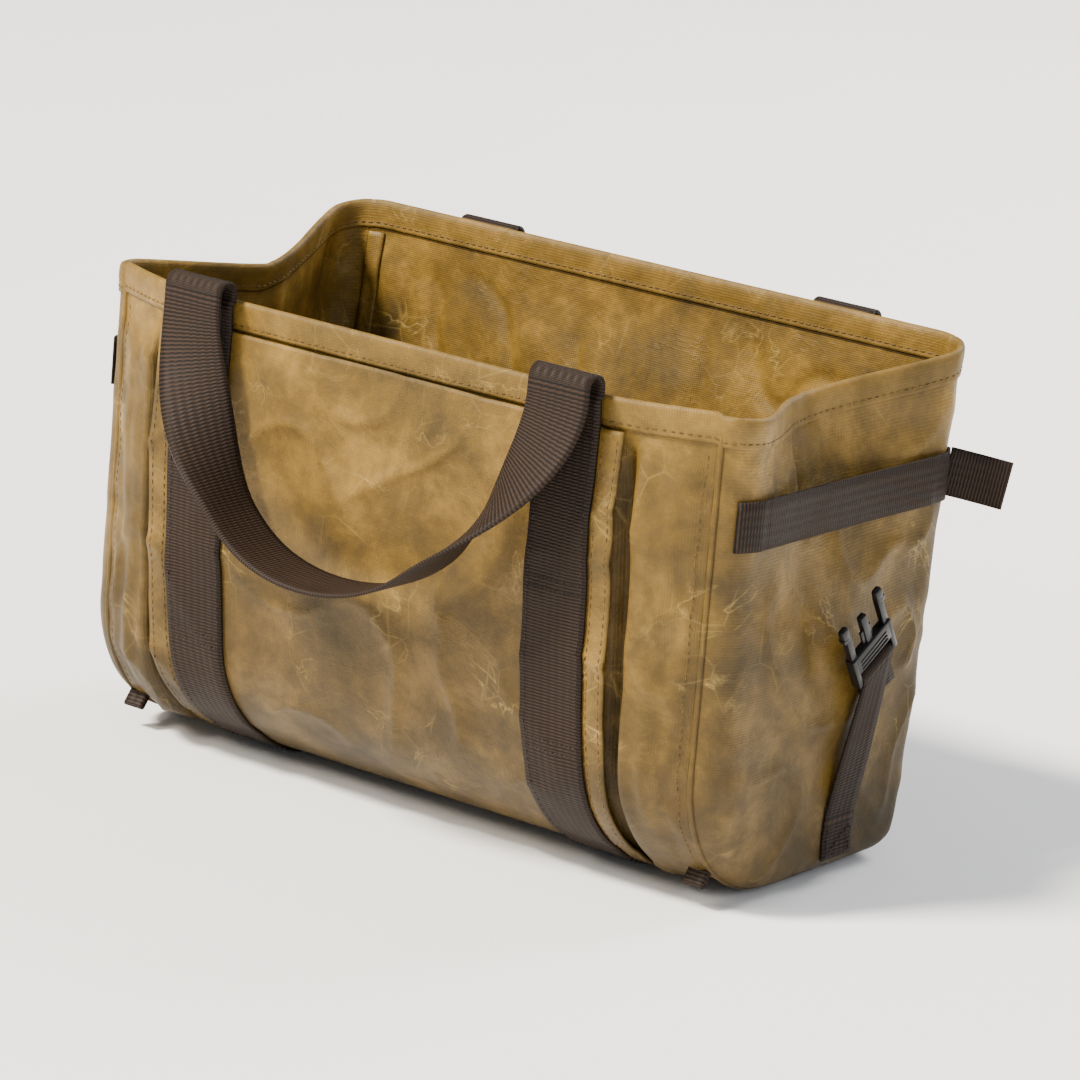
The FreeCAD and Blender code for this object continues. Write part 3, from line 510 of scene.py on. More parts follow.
    tree.links.new(dull.outputs["Result"], shader.inputs["Roughness"])
    shader.inputs["IOR"].default_value = 1.45
    shader.inputs["Specular IOR Level"].default_value = 0.38
    return material


TAN_CANVAS = waxed_canvas("waxed_cotton_canvas", "#3E2F0B", "#5A4411", "#7C6026", "#CBAA60")


def finish(bm, name, material, body, nodes, thickness=0.0):
    """Turns a mesh in mm into a piece that rides on a body and stands for its CAD nodes.

    The body is a name, on whose empty the piece is hung, or a tuple of two names and two places, which are
    not used: such a piece is only left where it is. The thickness is laid inwards from the mesh, or, when it
    is negative, half on each side of it.
    """
    bmesh.ops.scale(bm, vec=Vector((MM, MM, MM)), verts=bm.verts)
    mesh = bpy.data.meshes.new(name)
    for face in bm.faces:
        face.smooth = True
    bm.to_mesh(mesh)
    bm.free()
    mesh.materials.append(material)
    piece = bpy.data.objects.new(name, mesh)
    bpy.context.scene.collection.objects.link(piece)
    if thickness:
        cloth = piece.modifiers.new("cloth", "SOLIDIFY")
        cloth.thickness = abs(thickness) * MM
        cloth.offset = -1 if thickness > 0 else 0
    if isinstance(body, str):
        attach(piece, body)
    else:
        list(body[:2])
        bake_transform(piece)
    if nodes:
        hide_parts(*nodes)
    return piece


def cloth_grid(columns, rows, place, size, closed=False):
    """A grid of cloth: place(u, v) gives each point in mm, size its flat width and length in mm."""
    bm = bmesh.new()
    layer = bm.loops.layers.uv.new("cloth")
    bmesh.ops.create_grid(bm, x_segments=columns, y_segments=rows, size=0.5)
    for face in bm.faces:
        for loop in face.loops:
            share = loop.vert.co
            loop[layer].uv = ((share.x + 0.5) * size[0] * MM, (share.y + 0.5) * size[1] * MM)
    for vert in bm.verts:
        vert.co = place(vert.co.x + 0.5, vert.co.y + 0.5)
    if closed:
        bmesh.ops.remove_doubles(bm, verts=bm.verts, dist=0.01)
    return bm


main_bm = cloth_grid(176, 200, main_panel_point, (2 * SEAM_X, WRAP))
finish(main_bm, "main_panel_canvas", TAN_CANVAS, "bag", ["main_panel"], CANVAS)

# ---- Side panels ----
# The same canvas, cut to the bag's side outline and sewn inside out to the main panel, which leaves a
# rounded edge. The upper half folds inwards in the middle, so that the bag can be pressed flat.

SIDE_X = 203.0
FOLD_DEPTH = 34.0
FOLD_START = 142.0
FOLD_FRONT = 74.0
FOLD_REAR = 92.0
EDGE_ROUND = 14.0
CREASE = 4.6
BELLY = 2.0
SIDE_PUCKER_PERIOD = 6.3


def seam_table(first, last):
    """Heights and depths of the side seam between two distances round the wrap, lowest first."""
    points = [wrapped(SEAM_X, first + (last - first) * i / 240, 0) for i in range(241)]
    return sorted((point.z, point.y) for point in points)


FRONT_SEAM = seam_table(0.0, FRONT_RUN + 116.0)
REAR_SEAM = seam_table(WRAP - 279.0, WRAP)


def seam_y(table, height):
    index = min(max(bisect_right(table, (height, 999.0)), 1), len(table) - 1)
    (low, first), (high, second) = table[index - 1], table[index]
    share = min(max((height - low) / max(high - low, 1e-6), 0.0), 1.0)
    return first + (second - first) * share


def from_seam(y, height):
    """Distance in from the seam, which runs down the front edge, along the bottom and up the rear one."""
    near = [height - FLOOR, y - seam_y(FRONT_SEAM, height), seam_y(REAR_SEAM, height) - y]
    bends = ((-1, FRONT_BEND, FRONT_SLOPE, front_y), (1, REAR_BEND, REAR_SLOPE, rear_y))
    for side, radius, slope, face_y in bends:
        reach = side * radius / math.cos(math.atan(slope))
        centre = Vector((face_y(FLOOR + radius) - reach, FLOOR + radius))
        corner = Vector((side * (y - centre.x), centre.y - height))
        if corner.x > 0 and corner.y > 0:
            near.append(radius - corner.length)
    return max(0.0, min(near))


def side_fold(y, height):
    """How far the side is folded in at a depth and height."""
    share = min(1.0, abs(y) / (FOLD_FRONT if y < 0 else FOLD_REAR))
    vee = 1.03 - math.sqrt(share * share + 0.001)
    rounded = soft_step(1 - share, 0, 1)
    rise = max(0.0, height - FOLD_START) / (FRONT_RIM - FOLD_START)
    return FOLD_DEPTH * max(0.0, 0.55 * vee + 0.45 * rounded) * rise**1.1


def side_surface(y, height, seed):
    """X of the right side panel at a depth and height, with its own folds for each seed."""
    inset = from_seam(y, height)
    reach = EDGE_ROUND + 6 * (height / FRONT_RIM)
    turn = min(1.0, inset / reach)
    x = SEAM_X + (SIDE_X - SEAM_X) * math.sqrt(max(0.0, 1 - (1 - turn) ** 2)) - side_fold(y, height)
    below = rim_height(y) - height
    calm = soft_step(below, 4, 34) * soft_step(inset, 1, 24)
    folds = crumple(Vector((200 * seed, y, height)), 4 + seed) * 1.15
    # Two standing creases run down from the rim, and a third slants across below them.
    creased = hump(y, -16 + (seed - 1) * 9, 5) * soft_step(height, 178, 205)
    creased += hump(y, 17, 6) * soft_step(height, 190, 222)
    creased += 0.8 * hump(y + (height - 140) * 0.3, -20, 9) * hump(height, 132, 30)
    # The seam draws the cloth into small slanting puckers, deeper in some places than in others.
    wander = noise.noise(Vector((height / 40, y / 90, seed)))
    depth = 0.25 + 1.4 * abs(noise.noise(Vector((height / 34, y / 60, seed + 5))))
    depth *= soft_step(inset, 1, 8)
    depth *= 1 - soft_step(inset, 12, 34)
    pucker = math.sin((height + 0.6 * y) / SIDE_PUCKER_PERIOD + 4.5 * wander)
    pucker *= depth * soft_step(below, 6, 30)
    return x + calm * (folds - CREASE * creased + BELLY * hump(height, 90, 60)) + pucker


def side_panel_point(u, v, seed):
    climb = 1 - math.cos(math.pi * v / 2)
    height = FLOOR + climb * (FRONT_RIM - FLOOR)
    across = 0.5 - 0.5 * math.cos(math.pi * u)
    # The rim's height depends on the depth and the depth on the height, so both are found in two rounds.
    for _ in range(2):
        front, rear = seam_y(FRONT_SEAM, height), seam_y(REAR_SEAM, height)
        y = front + (rear - front) * across
        height = FLOOR + climb * (FRONT_RIM - FLOOR) + (rim_height(y) - FRONT_RIM) * climb**2
    sewn = u in (0.0, 1.0) or v == 0.0
    return Vector((SEAM_X if sewn else side_surface(y, height, seed), y, height))


def flipped(point):
    return Vector((-point.x, point.y, point.z))


right_bm = cloth_grid(110, 120, lambda u, v: side_panel_point(u, v, 1), (220, 250))
finish(right_bm, "side_panel_canvas_right", TAN_CANVAS, "bag", ["side_panel_right"], CANVAS)
left_bm = cloth_grid(110, 120, lambda u, v: flipped(side_panel_point(1 - u, v, 2)), (220, 250))
finish(left_bm, "side_panel_canvas_left", TAN_CANVAS, "bag", ["side_panel_left"], CANVAS)

# ---- Side seams ----
# Each side seam shows as a narrow rounded ridge where the two panels meet, with a row of stitches beside
# it. Inside, a strip of cloth binds the raw edges. The stitches are a little longer than real ones.

HANDS = ((1, "right"), (-1, "left"))
STITCH_LENGTH = 3.0
STITCH_PITCH = 4.4
STITCH_WIDTH = 0.75
RIDGE_HIGH = 1.35
RIDGE_WIDE = 1.7
STRIP_WIDTH = 9.0
STITCH_INSET = 5.5


def sewing_thread(name, colour, lit):
    """Waxed polyester thread: slightly shiny, with a twist that shows as a change of tone."""
    material, tree, shader, place = new_material(name)
    twist = add_node(
        tree,
        "ShaderNodeTexNoise",
        {"Vector": place.outputs["Object"], "Scale": 1 / (1.6 * MM), "Detail": 1.0},
    )
    tone = add_node(
        tree,
        "ShaderNodeValToRGB",
        {"Fac": twist.outputs["Fac"]},
        stops=[(0.35, linear(colour)), (0.65, linear(lit))],
    )
    tree.links.new(tone.outputs["Color"], shader.inputs["Base Color"])
    relief = add_node(
        tree, "ShaderNodeBump", {"Strength": 0.4, "Distance": 0.2 * MM, "Height": twist.outputs["Fac"]}
    )
    tree.links.new(relief.outputs["Normal"], shader.inputs["Normal"])
    shader.inputs["Roughness"].default_value = 0.5
    shader.inputs["Specular IOR Level"].default_value = 0.2
    return material


TAN_THREAD = sewing_thread("waxed_polyester_thread_tan", "#3E2D12", "#6B5128")
DARK_THREAD = sewing_thread("waxed_polyester_thread_brown", "#120D0A", "#2B221C")


def sew(bm, line, pitch=STITCH_PITCH, length=STITCH_LENGTH):
    """Adds a stitch to bm at each pitch of a line, given as (point, outward direction) pairs in mm."""
    at, total = traveller([point for point, _ in line])
    reach = [0.0]
    for (first, _), (second, _) in zip(line, line[1:]):
        reach.append(reach[-1] + (second - first).length)
    distance = pitch / 2
    while distance < total:
        point, along = at(distance)
        outward = line[min(bisect_right(reach, distance), len(line) - 1)][1]
        across = along.cross(outward).normalized()
        outward = across.cross(along).normalized()
        thread = Matrix((across * STITCH_WIDTH, outward * STITCH_WIDTH, along * length))
        placed = Matrix.Translation(point) @ thread.transposed().to_4x4()
        bmesh.ops.create_uvsphere(bm, u_segments=6, v_segments=4, radius=0.5, matrix=placed)
        distance += pitch


def surface_line(place, track):
    """Points and outward directions along a track of (u, v) pairs on a surface."""
    line = []
    for u, v in track:
        point = place(u, v)
        across = place(u + 0.002, v) - place(u - 0.002, v)
        along = place(u, v + 0.002) - place(u, v - 0.002)
        line.append((point, across.cross(along).normalized()))
    return line


def ribbon_bm(frames, width, columns=6):
    """A flat band through frames of (centre, crosswise direction), as a grid of cloth."""
    centres = [centre for centre, _ in frames]
    length = sum((b - a).length for a, b in zip(centres, centres[1:]))

    def place(u, v):
        centre, crosswise = frames[round(v * (len(frames) - 1))]
        return centre + crosswise * (u - 0.5) * width

    return cloth_grid(columns, len(frames) - 1, place, (width, length))


for side, hand in HANDS:

    def welt(u, v):
        run = 4 + v * (WRAP - 8)
        point, ahead = wrap_at(run)
        outward = Vector((0, ahead.z, -ahead.y))
        centre = wrapped(SEAM_X - 0.4, run, 0.1)
        angle = 2 * math.pi * u * -side
        ring = outward * math.sin(angle) * RIDGE_HIGH + Vector((1, 0, 0)) * math.cos(angle) * RIDGE_WIDE
        wobble = 1 + 0.12 * noise.noise(Vector((run / 9, 3.3, side)))
        spot = centre + ring * wobble
        return Vector((spot.x * side, spot.y, spot.z))

    welt_bm = cloth_grid(10, 260, welt, (10, WRAP), closed=True)
    finish(welt_bm, f"seam_ridge_{hand}", TAN_CANVAS, "bag", [])

    def inside_strip(u, v):
        x = SEAM_X - 0.8 - STRIP_WIDTH * (u if side < 0 else 1 - u)
        run = 16 + v * (WRAP - 32)
        return wrapped(x * side, run, main_lift(x * side, run) - CANVAS - 0.9)

    strip_bm = cloth_grid(4, 220, inside_strip, (STRIP_WIDTH, WRAP))
    tape = [f"seam_tape_{hand}"]
    finish(strip_bm, f"seam_binding_strip_{hand}", TAN_CANVAS, "bag", tape, -1.0)

    seam_bm = bmesh.new()
    row = 0.5 - side * (SEAM_X - STITCH_INSET) / (2 * SEAM_X)
    seam_track = [(row, 0.03 + 0.94 * i / 300) for i in range(301)]
    sew(seam_bm, surface_line(main_panel_point, seam_track))
    finish(seam_bm, f"seam_stitches_{hand}", TAN_THREAD, "bag", [])

# ---- Front pocket ----
# A second layer of canvas over the front, sewn under the webbing and open at its two sides. It stands off
# the main panel, so that its hemmed edges leave a dark gap, and it runs on under the bottom.

POCKET_TOP_RUN = 14.4
POCKET_END_RUN = 354.0
POCKET_LIFT = 1.5
HEM_STEP = 0.8
HEM_CURL = 1.4
SLACK = 1.3


def pocket_lift(x, run):
    """How far the pocket's outer face stands off the flat wrap."""
    share = min(max(run / (FRONT_RUN + 64), 0.0), 1.0)
    bulge = POCKET_BULGE * math.sin(math.pi * share) ** 0.9 if 0 < share < 1 else 0.0
    point, _ = wrap_at(run)
    side = abs(x)
    held = 1 - 0.6 * hump(side, 116, 24)
    loose = min(1.0, bulge / 6) * held
    dents = crumple(Vector((x, point.y, point.z)), 3) * 1.25
    slack = SLACK * math.sin((point.z + 0.25 * x) / 17) * hump(side, 78, 22) * hump(point.z, 150, 60)
    hem = HEM_STEP * soft_step(side, POCKET_HALF - 12.6, POCKET_HALF - 11.6)
    curl = HEM_CURL * soft_step(side, POCKET_HALF - 14, POCKET_HALF) * min(1.0, bulge / 5)
    return POCKET_LIFT + hem + curl + max(0.0, bulge + loose * (dents + slack))


def pocket_point(u, v):
    x = (1 - 2 * u) * POCKET_HALF
    run = POCKET_TOP_RUN + v * (POCKET_END_RUN - POCKET_TOP_RUN)
    return wrapped(x, run, pocket_lift(x, run))


pocket_bm = cloth_grid(140, 150, pocket_point, (2 * POCKET_HALF, POCKET_END_RUN - POCKET_TOP_RUN))
finish(pocket_bm, "front_pocket_canvas", TAN_CANVAS, "bag", ["front_pocket_panel"], CANVAS)

hem_bm = bmesh.new()
for side in (-1, 1):
    for inset in (2.6, 10.4):
        share = 0.5 - side * (POCKET_HALF - inset) / (2 * POCKET_HALF)
        sew(hem_bm, surface_line(pocket_point, [(share, 0.01 + 0.97 * i / 160) for i in range(161)]))
finish(hem_bm, "front_pocket_hem_stitches", TAN_THREAD, "bag", [])

# ---- Rim binding ----
# A strip of the same canvas, folded in half over the rim all the way round and sewn through both halves
# with one row of stitches near its lower edge.

BINDING_HEIGHT = 14.0
STITCH_DEPTH = 11.2
# The folded strip from its outer edge over the rim to its inner edge: outwards, and down from the rim.
BINDING_PROFILE = (
    (0.8, 14), (0.72, 12.6), (0.62, 11.2), (0.85, 9), (1.0, 6), (0.95, 3), (0.8, 0.8), (0.25, -0.4),
    (-0.7, -0.85), (-1.65, -0.4), (-2.2, 0.8), (-2.3, 3), (-2.35, 6), (-2.25, 9), (-2.0, 11.2),
    (-2.1, 12.6), (-2.2, 14),
)
BOUND_V = 0.963  # share of a side panel's height that the strip reaches down to
LONG_STEPS = 126
SIDE_STEPS = 110

rim_line = []
for step in range(LONG_STEPS):
    x = (step / 63 - 1) * SEAM_X
    rim_line.append((wrapped(x, 0, 0), wrapped(x, BINDING_HEIGHT, main_lift(x, BINDING_HEIGHT))))
for step in range(SIDE_STEPS):
    u = step / SIDE_STEPS
    rim_line.append((side_panel_point(u, 1.0, 1), side_panel_point(u, BOUND_V, 1)))
for step in range(LONG_STEPS):
    x = (1 - step / 63) * SEAM_X
    run = WRAP - BINDING_HEIGHT
    rim_line.append((wrapped(x, WRAP, 0), wrapped(x, run, main_lift(x, run))))
for step in range(SIDE_STEPS):
    u = 1 - step / SIDE_STEPS
    rim_line.append((flipped(side_panel_point(u, 1.0, 2)), flipped(side_panel_point(u, BOUND_V, 2))))
RIM_STEPS = len(rim_line)


def rim_frame(index):
    """Rim point, the direction down the canvas and the direction outwards."""
    top, low = rim_line[index % RIM_STEPS]
    behind, ahead = (rim_line[(index + step) % RIM_STEPS][0] for step in (-2, 2))
    down = (low - top).normalized()
    outward = (ahead - behind).cross(-down).normalized()
    return top, down, outward


def binding_spot(index, offset, depth):
    top, down, outward = rim_frame(index)
    ruffle = 0.25 * noise.noise(top / 11 + Vector((0, 0, depth / 9))) * (1 if offset > -0.7 else -1)
    return top + down * depth + outward * (offset + ruffle)


def binding_point(u, v):
    offset, depth = BINDING_PROFILE[round((1 - v) * (len(BINDING_PROFILE) - 1))]
    return binding_spot(round(u * RIM_STEPS), offset, depth)


LIGHT_CANVAS = waxed_canvas("waxed_cotton_canvas_strip", "#44340C", "#5C4614", "#785D27", "#CBAA60")
PROFILE_STEPS = len(BINDING_PROFILE) - 1
binding_bm = cloth_grid(RIM_STEPS, PROFILE_STEPS, binding_point, (1260, 36), closed=True)
finish(binding_bm, "rim_binding_strip", LIGHT_CANVAS, "bag", ["rim_binding"], -0.9)

rim_bm = bmesh.new()
for offset, facing in ((1.25, 1), (-2.6, -1)):
    loop = []
    for index in range(RIM_STEPS + 1):
        loop.append((binding_spot(index, offset, STITCH_DEPTH), rim_frame(index)[2] * facing))
    sew(rim_bm, loop)
finish(rim_bm, "rim_binding_stitches", TAN_THREAD, "bag", [])

# ---- Webbing runs ----
# Two bands of wide cotton webbing run up the front, under the bottom and up the rear, sewn down along both
# edges. Each stands up past the rim and folds outwards there into a carrying handle.

WEB_WIDTH = 36.0
WEB = 1.8
RUN_X = 116.0
FOLD_RADIUS = 6.0
FRONT_FOLD = Vector((0, -119.51, 259.0))
REAR_FOLD = Vector((0, 119.11, 262.0))
REAR_STOP = WRAP - 5.0
RIB_PERIOD = 1.7
CORD_PERIOD = 4.5


def cotton_webbing(name, dark, brown, crown):
    """Heavy woven tape, dyed dark brown: dull ribs across it, raised cords along it and a dusty bloom.

    Real ribs are about a millimetre apart and are drawn wider so that they show.
    """
    material, tree, shader, place = new_material(name)
    waves = []
    for direction, period, wander in (("Y", RIB_PERIOD, 0.5), ("X", CORD_PERIOD, 0.3)):
        waves.append(
            add_node(
                tree,
                "ShaderNodeTexWave",
                {
                    "Vector": place.outputs["UV"],
                    "Scale": WAVE_SCALE / period,
                    "Distortion": wander,
                    "Detail": 2.0,
                    "Detail Scale": 0.5,
                },
                bands_direction=direction,
            )
        )
    ribs = add_node(
        tree,
        "ShaderNodeMath",
        {0: waves[0].outputs["Fac"], 1: waves[1].outputs["Fac"]},
        operation="MULTIPLY",
    )
    bloom = add_node(
        tree,
        "ShaderNodeTexNoise",
        {"Vector": place.outputs["Object"], "Scale": 1 / (34 * MM), "Detail": 5.0, "Roughness": 0.6},
    )
    tone = add_node(
        tree,
        "ShaderNodeValToRGB",
        {"Fac": waves[0].outputs["Fac"]},
        stops=[(0.05, linear(dark)), (0.4, linear(brown)), (0.95, linear(crown))],
    )
    uneven = add_node(
        tree,
        "ShaderNodeValToRGB",
        {"Fac": bloom.outputs["Fac"]},
        stops=[(0.3, (0.84, 0.83, 0.82, 1)), (0.7, (1.16, 1.14, 1.12, 1))],
    )
    colour = add_node(
        tree,
        "ShaderNodeMix",
        {0: 1.0, 6: tone.outputs["Color"], 7: uneven.outputs["Color"]},
        data_type="RGBA",
        blend_type="MULTIPLY",
    )
    tree.links.new(colour.outputs[2], shader.inputs["Base Color"])
    relief = add_node(
        tree, "ShaderNodeBump", {"Strength": 0.75, "Distance": 0.45 * MM, "Height": ribs.outputs[0]}
    )
    tree.links.new(relief.outputs["Normal"], shader.inputs["Normal"])
    matt = add_node(
        tree,
        "ShaderNodeMapRange",
        {"Value": bloom.outputs["Fac"], "From Min": 0.3, "From Max": 0.7, "To Min": 0.58, "To Max": 0.72},
    )
    tree.links.new(matt.outputs["Result"], shader.inputs["Roughness"])
    shader.inputs["Specular IOR Level"].default_value = 0.16
    return material


WEBBING = cotton_webbing("woven_cotton_webbing", "#0E0906", "#1C130D", "#32251C")
RISE = math.pi / 2 * FOLD_RADIUS + 5.0
RUN_TOTAL = RISE + REAR_STOP + math.pi / 2 * FOLD_RADIUS


def over_rim(fold, side, distance):
    """A point on the fold over a rim, counted from its top down the side next to the canvas."""
    angle = min(distance / FOLD_RADIUS, math.pi / 2)
    spot = fold + Vector((0, -side * math.sin(angle), math.cos(angle))) * FOLD_RADIUS
    spot.z -= max(0.0, distance - math.pi / 2 * FOLD_RADIUS)
    return spot


def run_lift(x, run):
    """How far the middle of the webbing stands off the flat wrap."""
    on_pocket = pocket_lift(x, max(run, POCKET_TOP_RUN)) + 1.0
    on_panel = max(main_lift(x, run) + 1.3, 2.3)
    return on_pocket + (on_panel - on_pocket) * soft_step(run, POCKET_END_RUN - 2, POCKET_END_RUN + 14)


def run_point(x, distance):
    run = distance - RISE
    if run < 0:
        spot = over_rim(FRONT_FOLD, -1, distance)
    elif run > REAR_STOP:
        spot = over_rim(REAR_FOLD, 1, RUN_TOTAL - distance)
    else:
        return wrapped(x, run, run_lift(x, run))
    return Vector((x, spot.y, spot.z))


for side, hand in HANDS:

    def run_surface(u, v):
        return run_point(side * RUN_X + (0.5 - u) * WEB_WIDTH, v * RUN_TOTAL)

    run_bm = cloth_grid(8, 260, run_surface, (WEB_WIDTH, RUN_TOTAL))
    finish(run_bm, f"webbing_band_{hand}", WEBBING, "bag", [f"webbing_run_{hand}"], -WEB)
    edge_bm = bmesh.new()
    for across in (0.07, 0.93):
        track = [(across, (RISE + 6 + (POCKET_END_RUN - 10) * i / 170) / RUN_TOTAL) for i in range(171)]
        sew(edge_bm, [(point + out * WEB / 2, out) for point, out in surface_line(run_surface, track)])
    # Bars of stitches across the webbing where it takes the load.
    for drop in (20, 94, 99, 178, 183):
        track = [(0.08 + 0.84 * i / 12, (RISE + drop) / RUN_TOTAL) for i in range(13)]
        bar = [(point + out * WEB / 2, out) for point, out in surface_line(run_surface, track)]
        sew(edge_bm, bar, pitch=2.6, length=2.2)
    finish(edge_bm, f"webbing_stitches_{hand}", DARK_THREAD, "bag", [])

# ---- Carrying handles ----
# The same webbing goes on over each rim as a loop that hangs down outside the bag. Its ends lie flat on the
# folds and its middle turns on edge under its own stiffness.

HANDLE_DROP = 5.4
DRAWN_IN = 0.1
DRIFT = 9
FRONT_LOW = 132.0
REAR_LOW = 155.0
BEND_STEPS = 6
HANG_STEPS = 96

for name, fold, side, low in (
    ("front_handle", FRONT_FOLD, -1, FRONT_LOW),
    ("rear_handle", REAR_FOLD, 1, REAR_LOW),
):
    top = fold.z - HANDLE_DROP
    end_y = fold.y + side * FOLD_RADIUS
    middle_y = side * (abs(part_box(name)[side > 0].y) / MM - WEB_WIDTH / 2)
    frames = []
    for step in range(BEND_STEPS + 1):
        angle = math.pi / 2 * step / BEND_STEPS
        ring = Vector((0, side * math.sin(angle), math.cos(angle))) * FOLD_RADIUS
        frames.append((fold + ring + Vector((-RUN_X, 0, 0)), Vector((1, 0, 0))))
    for step in range(HANG_STEPS + 1):
        angle = math.pi * (step / HANG_STEPS - 0.5)
        share = min(1.0, (math.pi / 2 - abs(angle)) / (0.3 * math.pi))
        twist = math.pi / 2 * share**2 * (3 - 2 * share)
        along = Vector((RUN_X * math.cos(angle), 0, (top - low) * math.sin(angle))).normalized()
        flat = Vector((-along.z, 0, along.x))
        y = end_y + (middle_y - end_y) * math.sin(twist)
        # The loop hangs a little to the left and draws in below its ends.
        x = RUN_X * math.sin(angle) * (1 - DRAWN_IN * math.sin(2 * angle) ** 2)
        x -= DRIFT * math.cos(angle) ** 2
        spot = Vector((x, y, low + (top - low) * (1 - math.cos(angle))))
        frames.append((spot, flat * math.cos(twist) + Vector((0, 1, 0)) * math.sin(twist)))
    for step in range(BEND_STEPS + 1):
        angle = math.pi / 2 * (1 - step / BEND_STEPS)
        ring = Vector((0, side * math.sin(angle), math.cos(angle))) * FOLD_RADIUS
        frames.append((fold + ring + Vector((RUN_X, 0, 0)), Vector((-1, 0, 0))))
    handle_bm = ribbon_bm(frames, WEB_WIDTH, 8)
    path_start = Vector((0, fold.y, fold.z + 5.5))
    path_end = Vector((0, fold.y, fold.z - 5.2))
    finish(handle_bm, f"{name}_loop", WEBBING, ("bag", name, path_start, path_end), [name], -WEB)

# ---- Side straps ----
# A band of narrow webbing crosses each folded side from seam to seam and pulls it in. Its loose end stands
# out behind the rear corner.

STRAP_WIDTH = 25.0
STRAP = 1.5
STRAP_HEIGHT = 200.0
STRAP_FRONT = -87.0
STRAP_REAR = 101.4
STRAP_STEPS = 80
STRAP_LIFT = 1.25
BRIDGE_FRONT = -66
BRIDGE_LENGTH = 146
BRIDGE_X = 204.6
BRIDGE_DIP = 5.0
BRIDGE_SAG = 2.0
UP = Vector((0, 0, 1))


def strap_frames(seed):
    """Centre and crosswise direction of the right strap.

    It lies on the canvas at its ends and bridges the folded middle, where it is pulled in a little and sags.
    """
    centres = []
    for step in range(STRAP_STEPS + 1):
        y = STRAP_FRONT + (STRAP_REAR - STRAP_FRONT) * step / STRAP_STEPS
        share = min(max((y - BRIDGE_FRONT) / BRIDGE_LENGTH, 0.0), 1.0)
        bridge = BRIDGE_X - BRIDGE_DIP * math.sin(math.pi * share) if 0 < share < 1 else 0.0
        height = STRAP_HEIGHT - BRIDGE_SAG * math.sin(math.pi * share)
        surface = max(side_surface(y, height + shift, seed) for shift in (-10, 0, 10))
        centres.append(Vector((max(surface + STRAP_LIFT, bridge), y, height)))
    # The webbing is too stiff to follow each dent.
    frames = []
    for index, centre in enumerate(centres):
        near = [centres[min(max(index + shift, 0), STRAP_STEPS)].x for shift in range(-4, 5)]
        x = max(centre.x, sum(near) / 9) if 3 < index < STRAP_STEPS - 3 else centre.x
        frames.append((Vector((x, centre.y, centre.z)), UP))
    return frames


TAIL_START = Vector((199.010, 101.845, 200.0))
TAIL_WAY = Vector((0.8, 0.58, -0.16)).normalized()
TAIL_CURL = Vector((0.3, -0.42, 0))

for side, hand in HANDS:
    frames = strap_frames(1 if side > 0 else 2)
    turned = [(Vector((c.x * side, c.y, c.z)), w * side) for c, w in frames]
    strap_bm = ribbon_bm(turned, STRAP_WIDTH)
    finish(strap_bm, f"side_strap_band_{hand}", WEBBING, "bag", [f"side_strap_{hand}"], -STRAP)
    tail = []
    for step in range(21):
        reach = -2.0 + 32.0 * step / 20
        spot = TAIL_START + TAIL_WAY * reach + TAIL_CURL * (reach / 30) ** 2 * 4
        crosswise = Vector((0.12 * side, 0.1, 1)).normalized() * side
        tail.append((Vector((spot.x * side, spot.y, spot.z)), crosswise))
    tail_bm = ribbon_bm(tail, STRAP_WIDTH)
    start = Vector((TAIL_START.x * side, TAIL_START.y, TAIL_START.z))
    way = Vector((TAIL_WAY.x * side, TAIL_WAY.y, TAIL_WAY.z))
    hold = ("bag", f"side_strap_tail_{hand}", start - way, start + way * 8)
    finish(tail_bm, f"side_strap_end_{hand}", WEBBING, hold, [f"side_strap_tail_{hand}"], -STRAP)

# ---- Buckle straps ----
# A short length of narrow webbing is sewn to a patch low on each side and stands up, leaning outwards, to a
# buckle that its end loops through.

FOOT_X = 204.6
FOOT_LOW = 13
FOOT_LENGTH = 18
HINGE = Vector((FOOT_X, 22.0, 34.0))
BUCKLE_TILT = math.radians(38)
BAR = Vector((216.291, 22.0, 117.183))
STRAP_UP = (BAR - HINGE).normalized()
BAR_WAY = Vector((0, 1, 0)) * math.cos(BUCKLE_TILT) + STRAP_UP * math.sin(BUCKLE_TILT)
BUCKLE_UP = STRAP_UP * math.cos(BUCKLE_TILT) - Vector((0, 1, 0)) * math.sin(BUCKLE_TILT)
BUCKLE_OUT = BAR_WAY.cross(BUCKLE_UP).normalized()
BAR_RADIUS = 1.8
LOOP_RADIUS = BAR_RADIUS + 0.08 + STRAP / 2
BOX_STITCH_X = 205.7

